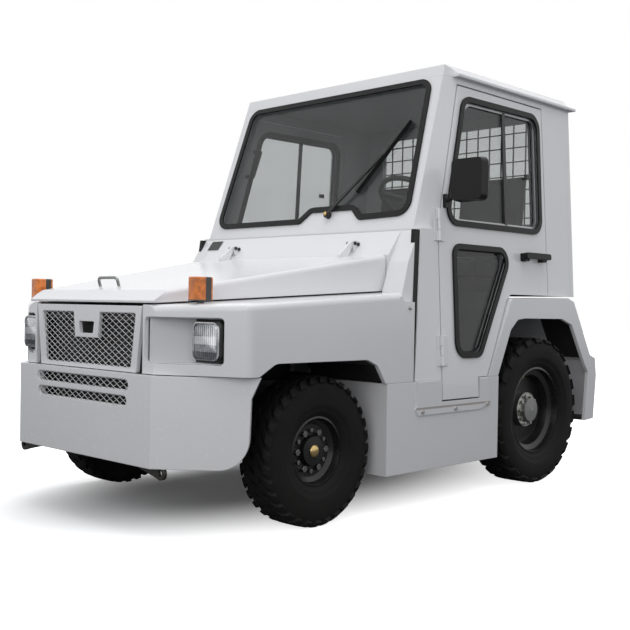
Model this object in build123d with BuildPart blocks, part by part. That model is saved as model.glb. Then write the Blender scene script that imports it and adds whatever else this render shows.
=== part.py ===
from build123d import *
from math import atan2, cos, degrees, hypot, radians, sin
import os

# Airport baggage tug with a closed two-door cab, millimetres.
# It is drawn in vehicle stations: Y is the distance behind the bumper's front face, X is the distance
# to the vehicle's left from its centre plane, and Z is the height above the ground.
# write() then moves each piece to the row frame, whose origin is the bottom centre of the whole box.

os.makedirs("parts", exist_ok=True)

# Whole vehicle
LENGTH = 2860
HALF_WIDTH = 760
WHEELBASE = 1522
FRONT_AXLE_Y = 627
REAR_AXLE_Y = FRONT_AXLE_Y + WHEELBASE
BODY_END_Y = LENGTH - 147
MIRROR_REACH = HALF_WIDTH + 175
MIRROR_INNER_X = MIRROR_REACH - 167

# Clearances
GAP = 6
RUNNING = 0.3
SEAT_CLEAR = 0.5
SKIN = 18

# Wheels: 6.50-10 in front, 28x9-15 behind
FRONT_TYRE_R = 295
FRONT_TYRE_W = 160
FRONT_RIM_R = 150
FRONT_WHEEL_X = 631
REAR_TYRE_R = 360
REAR_TYRE_W = 190
REAR_RIM_R = 228
REAR_WHEEL_X = 664

# Chassis
RAIL_X = 322
RAIL_W = 44
RAIL_Z = 443.5
RAIL_H = 104
RAIL_WEB = 8
RAIL_START_Y = 42
RAIL_END_Y = BODY_END_Y - 113
GROUND_CLEARANCE = 166

# Front bumper
BUMPER_Z = 265
BUMPER_TOP_Z = 600
BUMPER_THICK = 32
BUMPER_FLAT_X = 458
BUMPER_SIDE_Y = 260

# Front body
NOSE_Y = 25
CREASE_X = 440
CORNER_Y = 203
WING_BOTTOM_Z = 548
WING_TOP_Z = 854
WING_SLOPE = 0.0636
WING_END_Y = 1134
SHOULDER_R = 28
ARCH_TOP_Z = 649

# Bonnet
LIP_Y = 29
LIP_Z = 870
LIP_X = 432
BONNET_CREASE_Y = 85
BONNET_CREASE_Z = 910
BONNET_REAR_Y = 1112
BONNET_REAR_Z = 1086
BONNET_REAR_X = 615
BONNET_HINGE_X = 400
BONNET_HINGE_Y = 1133
BONNET_HINGE_Z = 1142

# Cab
FOLD_Y = 1212
FOLD_Z = 1204
CAB_FRONT_BOTTOM_Y = 1144
CAB_BOTTOM_Z = 549
SCREEN_LEAN = 0.3245
SIDE_LEAN = 0.0558
CAB_REAR_Y = BODY_END_Y - 218
ROOF_Z = 1960
ROOF_SEAM_Z = ROOF_Z - 55
WALL = 36

# Doors
DOOR_FRONT_Y = 1337
DOOR_TOP_Y = 1513
DOOR_REAR_Y = CAB_REAR_Y - 259
DOOR_FOOT_Y = 1610
DOOR_BOTTOM_Z = 460
DOOR_TOP_Z = ROOF_SEAM_Z - 37
DOOR_HINGE_Y = DOOR_FRONT_Y - GAP

ROW_FRAME = Location((-(MIRROR_REACH - HALF_WIDTH) / 2, -LENGTH / 2, 0))


def write(piece, label):
    """Labels a finished piece, moves it to the row frame and writes it."""
    placed = piece.part.moved(ROW_FRAME)
    placed.label = label
    export_step(placed, f"parts/{label}.step")


def write_sides(piece, label):
    """Writes a piece of the left side, and its mirror image for the right side."""
    write(piece, f"{label}_left")
    with BuildPart() as other:
        mirror(piece.part, about=Plane.YZ)
    write(other, f"{label}_right")


def side_plane(x):
    """Side view: the sketch's x is the vehicle's Y and its y is Z, extruded towards +X."""
    return Plane(origin=(x, 0, 0), x_dir=(0, 1, 0), z_dir=(1, 0, 0))


def front_plane(y):
    """Front view: the sketch's x is the vehicle's X and its y is Z, extruded towards the rear."""
    return Plane(origin=(0, y, 0), x_dir=(1, 0, 0), z_dir=(0, -1, 0))


def side_x(z):
    """Outer face of the cab's side at a height."""
    return HALF_WIDTH - SIDE_LEAN * (z - WING_BOTTOM_Z)


def wing_top(y):
    """Height of the wing's top plane."""
    return WING_TOP_Z + WING_SLOPE * y


def axle_plane(x, y, z):
    """Section through a wheel: the sketch's x is the distance outboard of x, its y is the radius."""
    return Plane(origin=(x, y, z), x_dir=(1, 0, 0), z_dir=(0, -1, 0))


# Tyres: one closed ring each, bulged sidewalls and a flat tread at the lugs' tips
def tyre(x, y, radius, width, rim_radius):
    half = width / 2
    seat = rim_radius - 12
    with BuildPart() as ring:
        with BuildSketch(axle_plane(x, y, radius)):
            with BuildLine():
                Polyline((-half * 0.72, seat), (half * 0.72, seat), (half * 0.86, rim_radius + 4))
                side_in = (half * 0.86, rim_radius + 4)
                side_out = (half * 0.92, radius - 26)
                ThreePointArc(side_in, (half, (rim_radius + radius) / 2), side_out)
                Polyline(side_out, (half * 0.76, radius), (-half * 0.76, radius), (-half * 0.92, radius - 26))
                ThreePointArc(
                    (-half * 0.92, radius - 26),
                    (-half, (rim_radius + radius) / 2),
                    (-half * 0.86, rim_radius + 4),
                )
                Line((-half * 0.86, rim_radius + 4), (-half * 0.72, seat))
            make_face()
        revolve(axis=Axis((x, y, radius), (1, 0, 0)))
    return ring


SPINDLE_R = 24
FRONT_DISC_X = 20
FRONT_HUB_R = 62
FRONT_BOLT_R = 78.5
REAR_DISC_X = -10
REAR_HUB_R = 85
REAR_BOLT_R = 70


def wheel_nuts(x, y, z, bolt_radius, count, nut_radius, height, start=0):
    """A ring of hexagon nuts on a disc face at x."""
    face = Plane(origin=(x, y, z), x_dir=(0, 1, 0), z_dir=(1, 0, 0))
    with BuildSketch(face) as nuts:
        with PolarLocations(bolt_radius, count, start_angle=start):
            RegularPolygon(nut_radius, 6)
    extrude(nuts.sketch, amount=height)


for side, sign in (("left", 1), ("right", -1)):
    front_tyre = tyre(sign * FRONT_WHEEL_X, FRONT_AXLE_Y, FRONT_TYRE_R, FRONT_TYRE_W, FRONT_RIM_R)
    write(front_tyre, f"tyre_front_{side}")
    rear_tyre = tyre(sign * REAR_WHEEL_X, REAR_AXLE_Y, REAR_TYRE_R, REAR_TYRE_W, REAR_RIM_R)
    write(rear_tyre, f"tyre_rear_{side}")

# Front wheel: pressed rim and dished disc, hub with a cap, six large nuts
FRONT_SEAT_R = FRONT_RIM_R - 12 - SEAT_CLEAR
FRONT_HALF_RIM = FRONT_TYRE_W / 2 * 0.72
with BuildPart() as wheel_front:
    with BuildSketch(axle_plane(FRONT_WHEEL_X, FRONT_AXLE_Y, FRONT_TYRE_R)):
        with BuildLine():
            Polyline(
                (-FRONT_HALF_RIM, FRONT_SEAT_R),
                (FRONT_HALF_RIM, FRONT_SEAT_R),
                (FRONT_HALF_RIM + 2, FRONT_SEAT_R - 8),
                (FRONT_DISC_X + 12, FRONT_SEAT_R - 16),
                (FRONT_DISC_X, FRONT_SEAT_R - 34),
                (FRONT_DISC_X, FRONT_HUB_R),
                (FRONT_DISC_X + 22, FRONT_HUB_R - 6),
                (FRONT_DISC_X + 26, 0),
                (FRONT_DISC_X + 2, 0),
                (FRONT_DISC_X + 2, SPINDLE_R + RUNNING),
                (FRONT_DISC_X - 46, SPINDLE_R + RUNNING),
                (FRONT_DISC_X - 46, FRONT_HUB_R),
                (FRONT_DISC_X - 12, FRONT_HUB_R + 4),
                (FRONT_DISC_X - 12, FRONT_SEAT_R - 34),
                (-FRONT_HALF_RIM, FRONT_SEAT_R - 14),
                (-FRONT_HALF_RIM, FRONT_SEAT_R),
            )
        make_face()
    revolve(axis=Axis((FRONT_WHEEL_X, FRONT_AXLE_Y, FRONT_TYRE_R), (1, 0, 0)))
    wheel_nuts(FRONT_WHEEL_X + FRONT_DISC_X, FRONT_AXLE_Y, FRONT_TYRE_R, FRONT_BOLT_R, 6, 13, 14)
    wheel_nuts(FRONT_WHEEL_X + FRONT_DISC_X, FRONT_AXLE_Y, FRONT_TYRE_R, FRONT_BOLT_R + 2, 6, 9, 10, 30)
write_sides(wheel_front, "wheel_front")

# Rear wheel: deep-dished disc, wide rim and a hub flange with ten nuts
REAR_SEAT_R = REAR_RIM_R - 12 - SEAT_CLEAR
REAR_HALF_RIM = REAR_TYRE_W / 2 * 0.72
REAR_INNER_R = 175
with BuildPart() as wheel_rear:
    with BuildSketch(axle_plane(REAR_WHEEL_X, REAR_AXLE_Y, REAR_TYRE_R)):
        with BuildLine():
            Polyline(
                (-REAR_HALF_RIM, REAR_SEAT_R),
                (REAR_HALF_RIM, REAR_SEAT_R),
                (REAR_HALF_RIM + 2, REAR_SEAT_R - 10),
                (REAR_HALF_RIM - 26, REAR_SEAT_R - 16),
                (REAR_HALF_RIM - 36, REAR_INNER_R),
                (REAR_DISC_X, REAR_INNER_R - 12),
                (REAR_DISC_X, REAR_HUB_R),
                (REAR_DISC_X + 28, REAR_HUB_R),
                (REAR_DISC_X + 28, 62),
                (REAR_DISC_X + 56, 58),
                (REAR_DISC_X + 60, 0),
                (REAR_DISC_X + 20, 0),
                (REAR_DISC_X + 20, SPINDLE_R + 8 + RUNNING),
                (REAR_DISC_X - 40, SPINDLE_R + 8 + RUNNING),
                (REAR_DISC_X - 40, REAR_HUB_R),
                (REAR_DISC_X - 14, REAR_HUB_R + 5),
                (REAR_DISC_X - 14, REAR_INNER_R),
                (-REAR_HALF_RIM, REAR_SEAT_R - 16),
                (-REAR_HALF_RIM, REAR_SEAT_R),
            )
        make_face()
    revolve(axis=Axis((REAR_WHEEL_X, REAR_AXLE_Y, REAR_TYRE_R), (1, 0, 0)))
    wheel_nuts(REAR_WHEEL_X + REAR_DISC_X + 28, REAR_AXLE_Y, REAR_TYRE_R, REAR_BOLT_R, 10, 9, 14)
write_sides(wheel_rear, "wheel_rear")

# Front bumper: one bent thick plate with two breathing slots, corners rounded upwards behind
FACET_RUN_X = HALF_WIDTH - BUMPER_FLAT_X
FACET_LENGTH = hypot(FACET_RUN_X, BUMPER_SIDE_Y)
BUMPER_CORNER_R = 115
LUG_X = 478
LUG_Z = 248
LUG_R = 25
LUG_HOLE_R = 12
LUG_ROOT_X = 285
LUG_THICK = 14
LUG_RISE = 70
END_SLANT = 34
END_CUT = 38
QUARTER = 1 - cos(radians(45))
SLOTS = (
    # height of the slot's middle, its width, its length
    (557, 42, 642),
    (497.5, 39, 622),
)

# Towing lug, set behind the plate: a flat arm whose round end hangs below it, with a hole
with BuildPart() as lug:
    with BuildSketch(front_plane(BUMPER_THICK)) as lug_face:
        with BuildLine():
            Polyline(
                (LUG_X, LUG_Z - LUG_R),
                (LUG_X - 30, LUG_Z - LUG_R + 8),
                (LUG_ROOT_X, BUMPER_Z + 2),
                (LUG_ROOT_X, BUMPER_Z + LUG_RISE),
                (LUG_X - 10, BUMPER_Z + LUG_RISE),
                (LUG_X + LUG_R, LUG_Z),
                (LUG_X, LUG_Z - LUG_R),
            )
        make_face()
        with Locations((LUG_X, LUG_Z)):
            Circle(LUG_R)
            Circle(LUG_HOLE_R, mode=Mode.SUBTRACT)
    extrude(lug_face.sketch, amount=-LUG_THICK)

with BuildPart() as front_bumper:
    with BuildSketch(Plane.XY.offset(BUMPER_Z)):
        with BuildLine():
            outer = Polyline(
                (-HALF_WIDTH, BUMPER_SIDE_Y),
                (-BUMPER_FLAT_X, 0),
                (BUMPER_FLAT_X, 0),
                (HALF_WIDTH, BUMPER_SIDE_Y),
            )
            offset(outer, amount=BUMPER_THICK, side=Side.LEFT)
        make_face()
    extrude(amount=BUMPER_TOP_Z - BUMPER_Z)
    facet_plane = Plane(
        origin=(BUMPER_FLAT_X, 0, 0),
        x_dir=(FACET_RUN_X, BUMPER_SIDE_Y, 0),
        z_dir=(BUMPER_SIDE_Y, -FACET_RUN_X, 0),
    )
    with BuildSketch(facet_plane) as end_cut:
        with BuildLine():
            Polyline(
                (FACET_LENGTH, BUMPER_TOP_Z),
                (FACET_LENGTH - END_SLANT, BUMPER_TOP_Z - 78),
                (FACET_LENGTH - END_CUT, BUMPER_Z + BUMPER_CORNER_R),
            )
            ThreePointArc(
                (FACET_LENGTH - END_CUT, BUMPER_Z + BUMPER_CORNER_R),
                (FACET_LENGTH - END_CUT - QUARTER * BUMPER_CORNER_R, BUMPER_Z + QUARTER * BUMPER_CORNER_R),
                (FACET_LENGTH - END_CUT - BUMPER_CORNER_R, BUMPER_Z),
            )
            Polyline(
                (FACET_LENGTH - END_CUT - BUMPER_CORNER_R, BUMPER_Z),
                (FACET_LENGTH - END_CUT - BUMPER_CORNER_R, BUMPER_Z - 40),
                (FACET_LENGTH + 60, BUMPER_Z - 40),
                (FACET_LENGTH + 60, BUMPER_TOP_Z),
                (FACET_LENGTH, BUMPER_TOP_Z),
            )
        make_face()
    extrude(amount=2 * BUMPER_THICK, both=True, mode=Mode.SUBTRACT)
    end_tool = extrude(end_cut.sketch, amount=2 * BUMPER_THICK, both=True, mode=Mode.PRIVATE)
    mirror(end_tool, about=Plane.YZ, mode=Mode.SUBTRACT)
    for slot_z, slot_width, slot_length in SLOTS:
        with BuildSketch(front_plane(0)):
            with Locations((0, slot_z)):
                SlotOverall(slot_length, slot_width)
        extrude(amount=BUMPER_THICK * 2, both=True, mode=Mode.SUBTRACT)
    add(lug.part)
    mirror(lug.part, about=Plane.YZ)
write(front_bumper, "front_bumper")

# Grille panel: a flat trapezoid frame between the wings, with a tab that holds a trapezoid hand hole
GRILLE_THICK = 16
GRILLE_TOP_Z = 851
GRILLE_BOTTOM_Z = BUMPER_TOP_Z + 3
GRILLE_TOP_X = 366
GRILLE_BOTTOM_X = 335
MESH_TOP_Z = 824
MESH_BOTTOM_Z = 618
MESH_TOP_X = 328
MESH_BOTTOM_X = 299
TAB_BOTTOM_X = 80
TAB_BOTTOM_Z = 723
TAB_TOP_X = 92
HAND_BOTTOM_X = 46
HAND_BOTTOM_Z = 740
HAND_TOP_X = 54
HAND_TOP_Z = 786


def trapezoid(bottom_x, bottom_z, top_x, top_z, corner):
    """A face symmetric about the centre plane, with rounded corners."""
    with BuildSketch() as face:
        with BuildLine():
            Polyline(
                (-bottom_x, bottom_z),
                (bottom_x, bottom_z),
                (top_x, top_z),
                (-top_x, top_z),
                (-bottom_x, bottom_z),
            )
        make_face()
        fillet(face.vertices(), corner)
    return face.sketch


with BuildPart() as grille_panel:
    with BuildSketch(front_plane(NOSE_Y)):
        add(trapezoid(GRILLE_BOTTOM_X, GRILLE_BOTTOM_Z, GRILLE_TOP_X, GRILLE_TOP_Z, 6))
        add(trapezoid(MESH_BOTTOM_X, MESH_BOTTOM_Z, MESH_TOP_X, MESH_TOP_Z, 8), mode=Mode.SUBTRACT)
        add(trapezoid(TAB_BOTTOM_X, TAB_BOTTOM_Z, TAB_TOP_X, MESH_TOP_Z + 4, 4))
        add(trapezoid(HAND_BOTTOM_X, HAND_BOTTOM_Z, HAND_TOP_X, HAND_TOP_Z, 3), mode=Mode.SUBTRACT)
    extrude(amount=-GRILLE_THICK)
write(grille_panel, "grille_panel")

# Woven mesh: plates set inside the grille panel's opening and the bumper's slots, just behind the front faces
MESH_THICK = 4
MESH_SINK = 3
with BuildPart() as grille_mesh:
    with BuildSketch(front_plane(NOSE_Y + MESH_SINK)) as grille_face:
        add(trapezoid(MESH_BOTTOM_X, MESH_BOTTOM_Z, MESH_TOP_X, MESH_TOP_Z, 8))
        add(trapezoid(TAB_BOTTOM_X, TAB_BOTTOM_Z, TAB_TOP_X, MESH_TOP_Z + 4, 4), mode=Mode.SUBTRACT)
        offset(amount=-RUNNING)
    extrude(grille_face.sketch, amount=-MESH_THICK)
    for slot_z, slot_width, slot_length in SLOTS:
        with BuildSketch(front_plane(2 * MESH_SINK)) as slot_face:
            with Locations((0, slot_z)):
                SlotOverall(slot_length - 2 * RUNNING, slot_width - 2 * RUNNING)
        extrude(slot_face.sketch, amount=-MESH_THICK)
write(grille_mesh, "grille_mesh")


# Wings: folded sheet with the front corner, a headlamp recess, a flat-topped wheel arch and a top plate
def wing_block(inset):
    """The wing's outer form, set in by a thickness."""
    slope_drop = inset * hypot(1, WING_SLOPE)
    with BuildPart() as block:
        with BuildSketch(Plane.XY.offset(WING_BOTTOM_Z - (1 if inset else 0))):
            with BuildLine():
                Polyline(
                    (GRILLE_TOP_X - 200, NOSE_Y + inset),
                    (CREASE_X - inset * 0.27, NOSE_Y + inset),
                    (HALF_WIDTH - inset, CORNER_Y + inset * 0.76),
                    (HALF_WIDTH - inset, WING_END_Y - inset),
                    (GRILLE_TOP_X - 200, WING_END_Y - inset),
                    (GRILLE_TOP_X - 200, NOSE_Y + inset),
                )
            make_face()
        extrude(amount=500)
        top_plane = Plane(
            origin=(0, 0, WING_TOP_Z - slope_drop), x_dir=(1, 0, 0), z_dir=(0, -WING_SLOPE, 1)
        )
        split(bisect_by=top_plane, keep=Keep.BOTTOM)
        corner = block.edges().filter_by(Axis.Z).group_by(Axis.X)[-1].sort_by(Axis.Y)[0]
        fillet(corner, 42 - inset)
        shoulder = block.faces().filter_by(Axis.X).sort_by(Axis.X)[-1].edges().group_by(Axis.Z)[-1]
        fillet(shoulder, SHOULDER_R - min(inset, SHOULDER_R - 8))
    return block.part


LAMP_INNER_X = 385
LAMP_OUTER_X = 676
LAMP_BOTTOM_Z = 643
LAMP_TOP_Z = 812
LAMP_FACE_Y = 142
BUCKET_X = 520
CHEEK_X = 624
STEP_Z = 884
with BuildPart() as wing:
    add(wing_block(0))
    add(wing_block(SKIN), mode=Mode.SUBTRACT)
    # Nothing is left inboard of the grille and the bonnet's edge, nor under the skirt line
    with BuildSketch(Plane.XY.offset(WING_BOTTOM_Z - 10)) as inboard:
        with BuildLine():
            Polyline(
                (0, 0),
                (GRILLE_TOP_X + GAP, 0),
                (GRILLE_TOP_X + GAP, NOSE_Y + SKIN),
                (LIP_X - 30, NOSE_Y + SKIN + 30),
                (BONNET_REAR_X - 30, WING_END_Y + 1),
                (0, WING_END_Y + 1),
                (0, 0),
            )
        make_face()
    extrude(inboard.sketch, amount=600, mode=Mode.SUBTRACT)
    # Lower edge of the corner and the flat-topped arch
    with BuildSketch(side_plane(GRILLE_TOP_X - 100)) as arch:
        with BuildLine():
            Polyline(
                (-10, WING_BOTTOM_Z - 10),
                (-10, BUMPER_TOP_Z + 3),
                (BUMPER_SIDE_Y - 8, BUMPER_TOP_Z + 3),
                (327, ARCH_TOP_Z - 4),
                (345, ARCH_TOP_Z),
                (839, ARCH_TOP_Z),
                (901, ARCH_TOP_Z - 26),
                (954, WING_BOTTOM_Z - 1),
                (954, WING_BOTTOM_Z - 10),
                (-10, WING_BOTTOM_Z - 10),
            )
        make_face()
    extrude(arch.sketch, amount=600, mode=Mode.SUBTRACT)
    # Step at the rear end of the shoulder
    with BuildSketch(side_plane(CHEEK_X)) as step:
        with BuildLine():
            Polyline((1066, STEP_Z), (1160, STEP_Z), (1160, 1000), (1054, 1000), (1054, 896), (1066, STEP_Z))
        make_face()
    extrude(step.sketch, amount=600, mode=Mode.SUBTRACT)
    with BuildSketch(side_plane(CHEEK_X)) as step_plate:
        with BuildLine():
            Polyline(
                (1040, 905),
                (1054, 905),
                (1066, STEP_Z),
                (WING_END_Y, STEP_Z),
                (WING_END_Y, STEP_Z - 16),
                (1058, STEP_Z - 16),
                (1040, 890),
                (1040, 905),
            )
        make_face()
    extrude(step_plate.sketch, amount=HALF_WIDTH - CHEEK_X)
    # Headlamp recess across the front crease
    with BuildSketch(front_plane(0)) as recess:
        with Locations(((LAMP_INNER_X + LAMP_OUTER_X) / 2, (LAMP_BOTTOM_Z + LAMP_TOP_Z) / 2)):
            RectangleRounded(LAMP_OUTER_X - LAMP_INNER_X, LAMP_TOP_Z - LAMP_BOTTOM_Z, 16)
    extrude(recess.sketch, amount=-240, mode=Mode.SUBTRACT)
with BuildPart() as wings:
    add(wing.part)
    mirror(wing.part, about=Plane.YZ)
write(wings, "wings")

# Arch liners: plates that close the wheelhouses above the front tyres, from the wing's skin to the engine bay
LINER_THICK = 5
LINER_INNER_X = 352
ARCH_OPENING = (
    # station, height along the arch's edge
    (290, 618),
    (327, ARCH_TOP_Z - 4),
    (345, ARCH_TOP_Z),
    (839, ARCH_TOP_Z),
    (901, ARCH_TOP_Z - 26),
    (950, WING_BOTTOM_Z + 6),
)
with BuildPart() as arch_liner:
    with BuildSketch(side_plane(LINER_INNER_X)) as liner_face:
        with BuildLine():
            Polyline(
                *[(y, z + RUNNING) for y, z in ARCH_OPENING],
                *[(y + (LINER_THICK if y > 600 else -LINER_THICK), z + RUNNING + LINER_THICK)
                  for y, z in reversed(ARCH_OPENING)],
                (ARCH_OPENING[0][0], ARCH_OPENING[0][1] + RUNNING),
            )
        make_face()
    extrude(liner_face.sketch, amount=HALF_WIDTH - SKIN - RUNNING - LINER_INNER_X)
with BuildPart() as arch_liners:
    add(arch_liner.part)
    mirror(arch_liner.part, about=Plane.YZ)
write(arch_liners, "arch_liners")

# Headlamps: a tapered recess that ends in a black bucket with a rounded square lamp
RECESS_WALL = 4
LAMP_WIDTH = LAMP_OUTER_X - BUCKET_X - 8
LAMP_HEIGHT = LAMP_TOP_Z - LAMP_BOTTOM_Z - 22
with BuildPart() as lamp:
    with BuildSketch(front_plane(LAMP_FACE_Y)):
        with Locations(((BUCKET_X + LAMP_OUTER_X) / 2, (LAMP_BOTTOM_Z + LAMP_TOP_Z) / 2)):
            RectangleRounded(LAMP_WIDTH, LAMP_HEIGHT, 24)
    extrude(amount=-42)
    fillet(lamp.faces().filter_by(Axis.Y).sort_by(Axis.Y)[0].edges(), 6)
with BuildPart() as headlamp:
    with BuildSketch(Plane.XY.offset(LAMP_BOTTOM_Z + RUNNING)):
        with BuildLine():
            Polyline(
                (LAMP_INNER_X + 6, NOSE_Y + SKIN + RUNNING),
                (LAMP_INNER_X + 6, NOSE_Y + SKIN + 9),
                (BUCKET_X - 20, LAMP_FACE_Y + 30),
                (LAMP_OUTER_X - RUNNING, LAMP_FACE_Y + 46),
                (LAMP_OUTER_X - RUNNING, LAMP_FACE_Y + 40),
                (BUCKET_X - 10, LAMP_FACE_Y + 18),
                (LAMP_INNER_X + 16, NOSE_Y + SKIN + RUNNING),
                (LAMP_INNER_X + 6, NOSE_Y + SKIN + RUNNING),
            )
        make_face()
    extrude(amount=LAMP_TOP_Z - LAMP_BOTTOM_Z - 2 * RUNNING)
    for wall_z in (LAMP_BOTTOM_Z + RUNNING, LAMP_TOP_Z - RUNNING - RECESS_WALL):
        with BuildSketch(Plane.XY.offset(wall_z)):
            with BuildLine():
                Polyline(
                    (LAMP_INNER_X + 6, NOSE_Y + SKIN + RUNNING),
                    (LAMP_INNER_X + 6, NOSE_Y + SKIN + 9),
                    (BUCKET_X - 20, LAMP_FACE_Y + 30),
                    (LAMP_OUTER_X - RUNNING, LAMP_FACE_Y + 46),
                    (LAMP_OUTER_X - RUNNING, LAMP_FACE_Y + 40),
                    (CREASE_X - 8, NOSE_Y + SKIN + RUNNING),
                    (LAMP_INNER_X + 6, NOSE_Y + SKIN + RUNNING),
                )
            make_face()
        extrude(amount=RECESS_WALL)
    add(lamp.part)
with BuildPart() as headlamps:
    add(headlamp.part)
    mirror(headlamp.part, about=Plane.YZ)
write(headlamps, "headlamps")

# Indicators: rounded lamps on short stems, standing on the wings
INDICATOR_X = 549
INDICATOR_Y = 150
INDICATOR_LENGTH = 84
INDICATOR_WIDTH = 52
INDICATOR_BASE_Z = 872
INDICATOR_HEIGHT = 88
with BuildPart() as indicator:
    with BuildSketch(Plane.XY.offset(INDICATOR_BASE_Z)):
        with Locations((INDICATOR_X, INDICATOR_Y)):
            RectangleRounded(INDICATOR_WIDTH, INDICATOR_LENGTH, 12)
    extrude(amount=INDICATOR_HEIGHT)
    fillet(indicator.faces().sort_by(Axis.Z)[-1].edges(), 6)
    with BuildSketch(Plane.XY.offset(wing_top(INDICATOR_Y) + 1.2)):
        with Locations((INDICATOR_X, INDICATOR_Y)):
            Circle(14)
    extrude(amount=INDICATOR_BASE_Z - wing_top(INDICATOR_Y))
with BuildPart() as indicators:
    add(indicator.part)
    mirror(indicator.part, about=Plane.YZ)
write(indicators, "indicators")


# Bonnet: a one-piece folded lid, narrow at the lip and rising to the cowl
def bonnet_block(inset):
    """The bonnet's outer form, set in by a thickness and left open below and behind."""
    sink = 40 if inset else 0
    lean = (BONNET_REAR_Z - BONNET_CREASE_Z) / (BONNET_REAR_Y - BONNET_CREASE_Y)
    with BuildPart() as block:
        with BuildSketch(Plane.XY.offset(LIP_Z - 80)):
            with BuildLine():
                Polyline(
                    (-LIP_X + inset, LIP_Y + inset),
                    (LIP_X - inset, LIP_Y + inset),
                    (BONNET_REAR_X - inset, BONNET_REAR_Y - inset),
                    (-BONNET_REAR_X + inset, BONNET_REAR_Y - inset),
                    (-LIP_X + inset, LIP_Y + inset),
                )
            make_face()
        extrude(amount=400)
        with BuildSketch(side_plane(-HALF_WIDTH)):
            with BuildLine():
                Polyline(
                    (LIP_Y, wing_top(LIP_Y) + GAP - sink),
                    (LIP_Y, LIP_Z - inset * 0.4),
                    (BONNET_CREASE_Y, BONNET_CREASE_Z - inset * 1.1),
                    (BONNET_REAR_Y, BONNET_CREASE_Z - inset * 1.1 + lean * (BONNET_REAR_Y - BONNET_CREASE_Y)),
                    (BONNET_REAR_Y, wing_top(BONNET_REAR_Y) + GAP - sink),
                    (LIP_Y, wing_top(LIP_Y) + GAP - sink),
                )
            make_face()
        extrude(amount=2 * HALF_WIDTH, mode=Mode.INTERSECT)
        crown = block.faces().filter_by(lambda face: face.normal_at().Z > 0.9).sort_by(Axis.Z)[-1]
        sides = crown.edges().filter_by(lambda edge: abs(edge.center().X) > LIP_X - 40)
        fillet(sides, 22 - inset * 0.8)
    return block.part


BONNET_SKIN = 14
HANDLE_HALF = 65
HANDLE_FOOT_Y = 133
HANDLE_FOOT_Z = BONNET_CREASE_Z + 6
HANDLE_RISE = 44
HANDLE_LEAN = 13
HANDLE_ROD_R = 6
STRAP_THICK = 18
STRAP_HOLE_R = 5
EAR_THICK = 8
EAR_CLEAR = 2
with BuildPart() as bonnet:
    add(bonnet_block(0))
    add(bonnet_block(BONNET_SKIN), mode=Mode.SUBTRACT)
    # Lifting handle: a bent rod over the lip
    with BuildLine() as handle_path:
        FilletPolyline(
            (-HANDLE_HALF, HANDLE_FOOT_Y, HANDLE_FOOT_Z),
            (-HANDLE_HALF, HANDLE_FOOT_Y - HANDLE_LEAN, HANDLE_FOOT_Z + HANDLE_RISE),
            (HANDLE_HALF, HANDLE_FOOT_Y - HANDLE_LEAN, HANDLE_FOOT_Z + HANDLE_RISE),
            (HANDLE_HALF, HANDLE_FOOT_Y, HANDLE_FOOT_Z),
            radius=16,
        )
    handle_foot = (-HANDLE_HALF, HANDLE_FOOT_Y, HANDLE_FOOT_Z)
    with BuildSketch(Plane(origin=handle_foot, z_dir=(0, -HANDLE_LEAN, HANDLE_RISE))) as handle_section:
        Circle(HANDLE_ROD_R)
    sweep(handle_section.sketch, path=handle_path.line)
    # Hinge straps that reach over the cowl to their pins
    for hinge_x in (-BONNET_HINGE_X, BONNET_HINGE_X):
        with BuildSketch(side_plane(hinge_x - STRAP_THICK / 2)) as strap:
            with BuildLine():
                Polyline(
                    (BONNET_REAR_Y - 66, BONNET_REAR_Z - 16),
                    (BONNET_REAR_Y - 66, BONNET_REAR_Z + 2),
                    (BONNET_HINGE_Y - 8, BONNET_HINGE_Z + 10),
                    (BONNET_HINGE_Y + 10, BONNET_HINGE_Z + 10),
                    (BONNET_HINGE_Y + 10, BONNET_HINGE_Z - 10),
                    (BONNET_HINGE_Y - 6, BONNET_HINGE_Z - 10),
                    (BONNET_REAR_Y - 14, BONNET_REAR_Z - 6),
                    (BONNET_REAR_Y - 66, BONNET_REAR_Z - 16),
                )
            make_face()
            with Locations((BONNET_HINGE_Y, BONNET_HINGE_Z)):
                Circle(STRAP_HOLE_R + RUNNING, mode=Mode.SUBTRACT)
        extrude(strap.sketch, amount=STRAP_THICK)
write(bonnet, "bonnet")


def cab_front_y(z):
    """Cab's front plane below the fold."""
    return CAB_FRONT_BOTTOM_Y + (FOLD_Y - CAB_FRONT_BOTTOM_Y) * (z - CAB_BOTTOM_Z) / (FOLD_Z - CAB_BOTTOM_Z)


# Cowl: the sloped cover between the bonnet and the windscreen, with the bonnet's hinge pins
COWL_Y = BONNET_REAR_Y + GAP
COWL_TOP_Z = FOLD_Z - 8
COWL_SEAL = 8
COWL_PIN_HALF = 22
CHEEK_FOOT_Y = 1066
CHEEK_TOP_Y = 1125
CHEEK_TOP_Z = 1055
STRIP_DEPTH = 34
STRIP_WIDTH = 20
STRIP_INSET = 5


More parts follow.
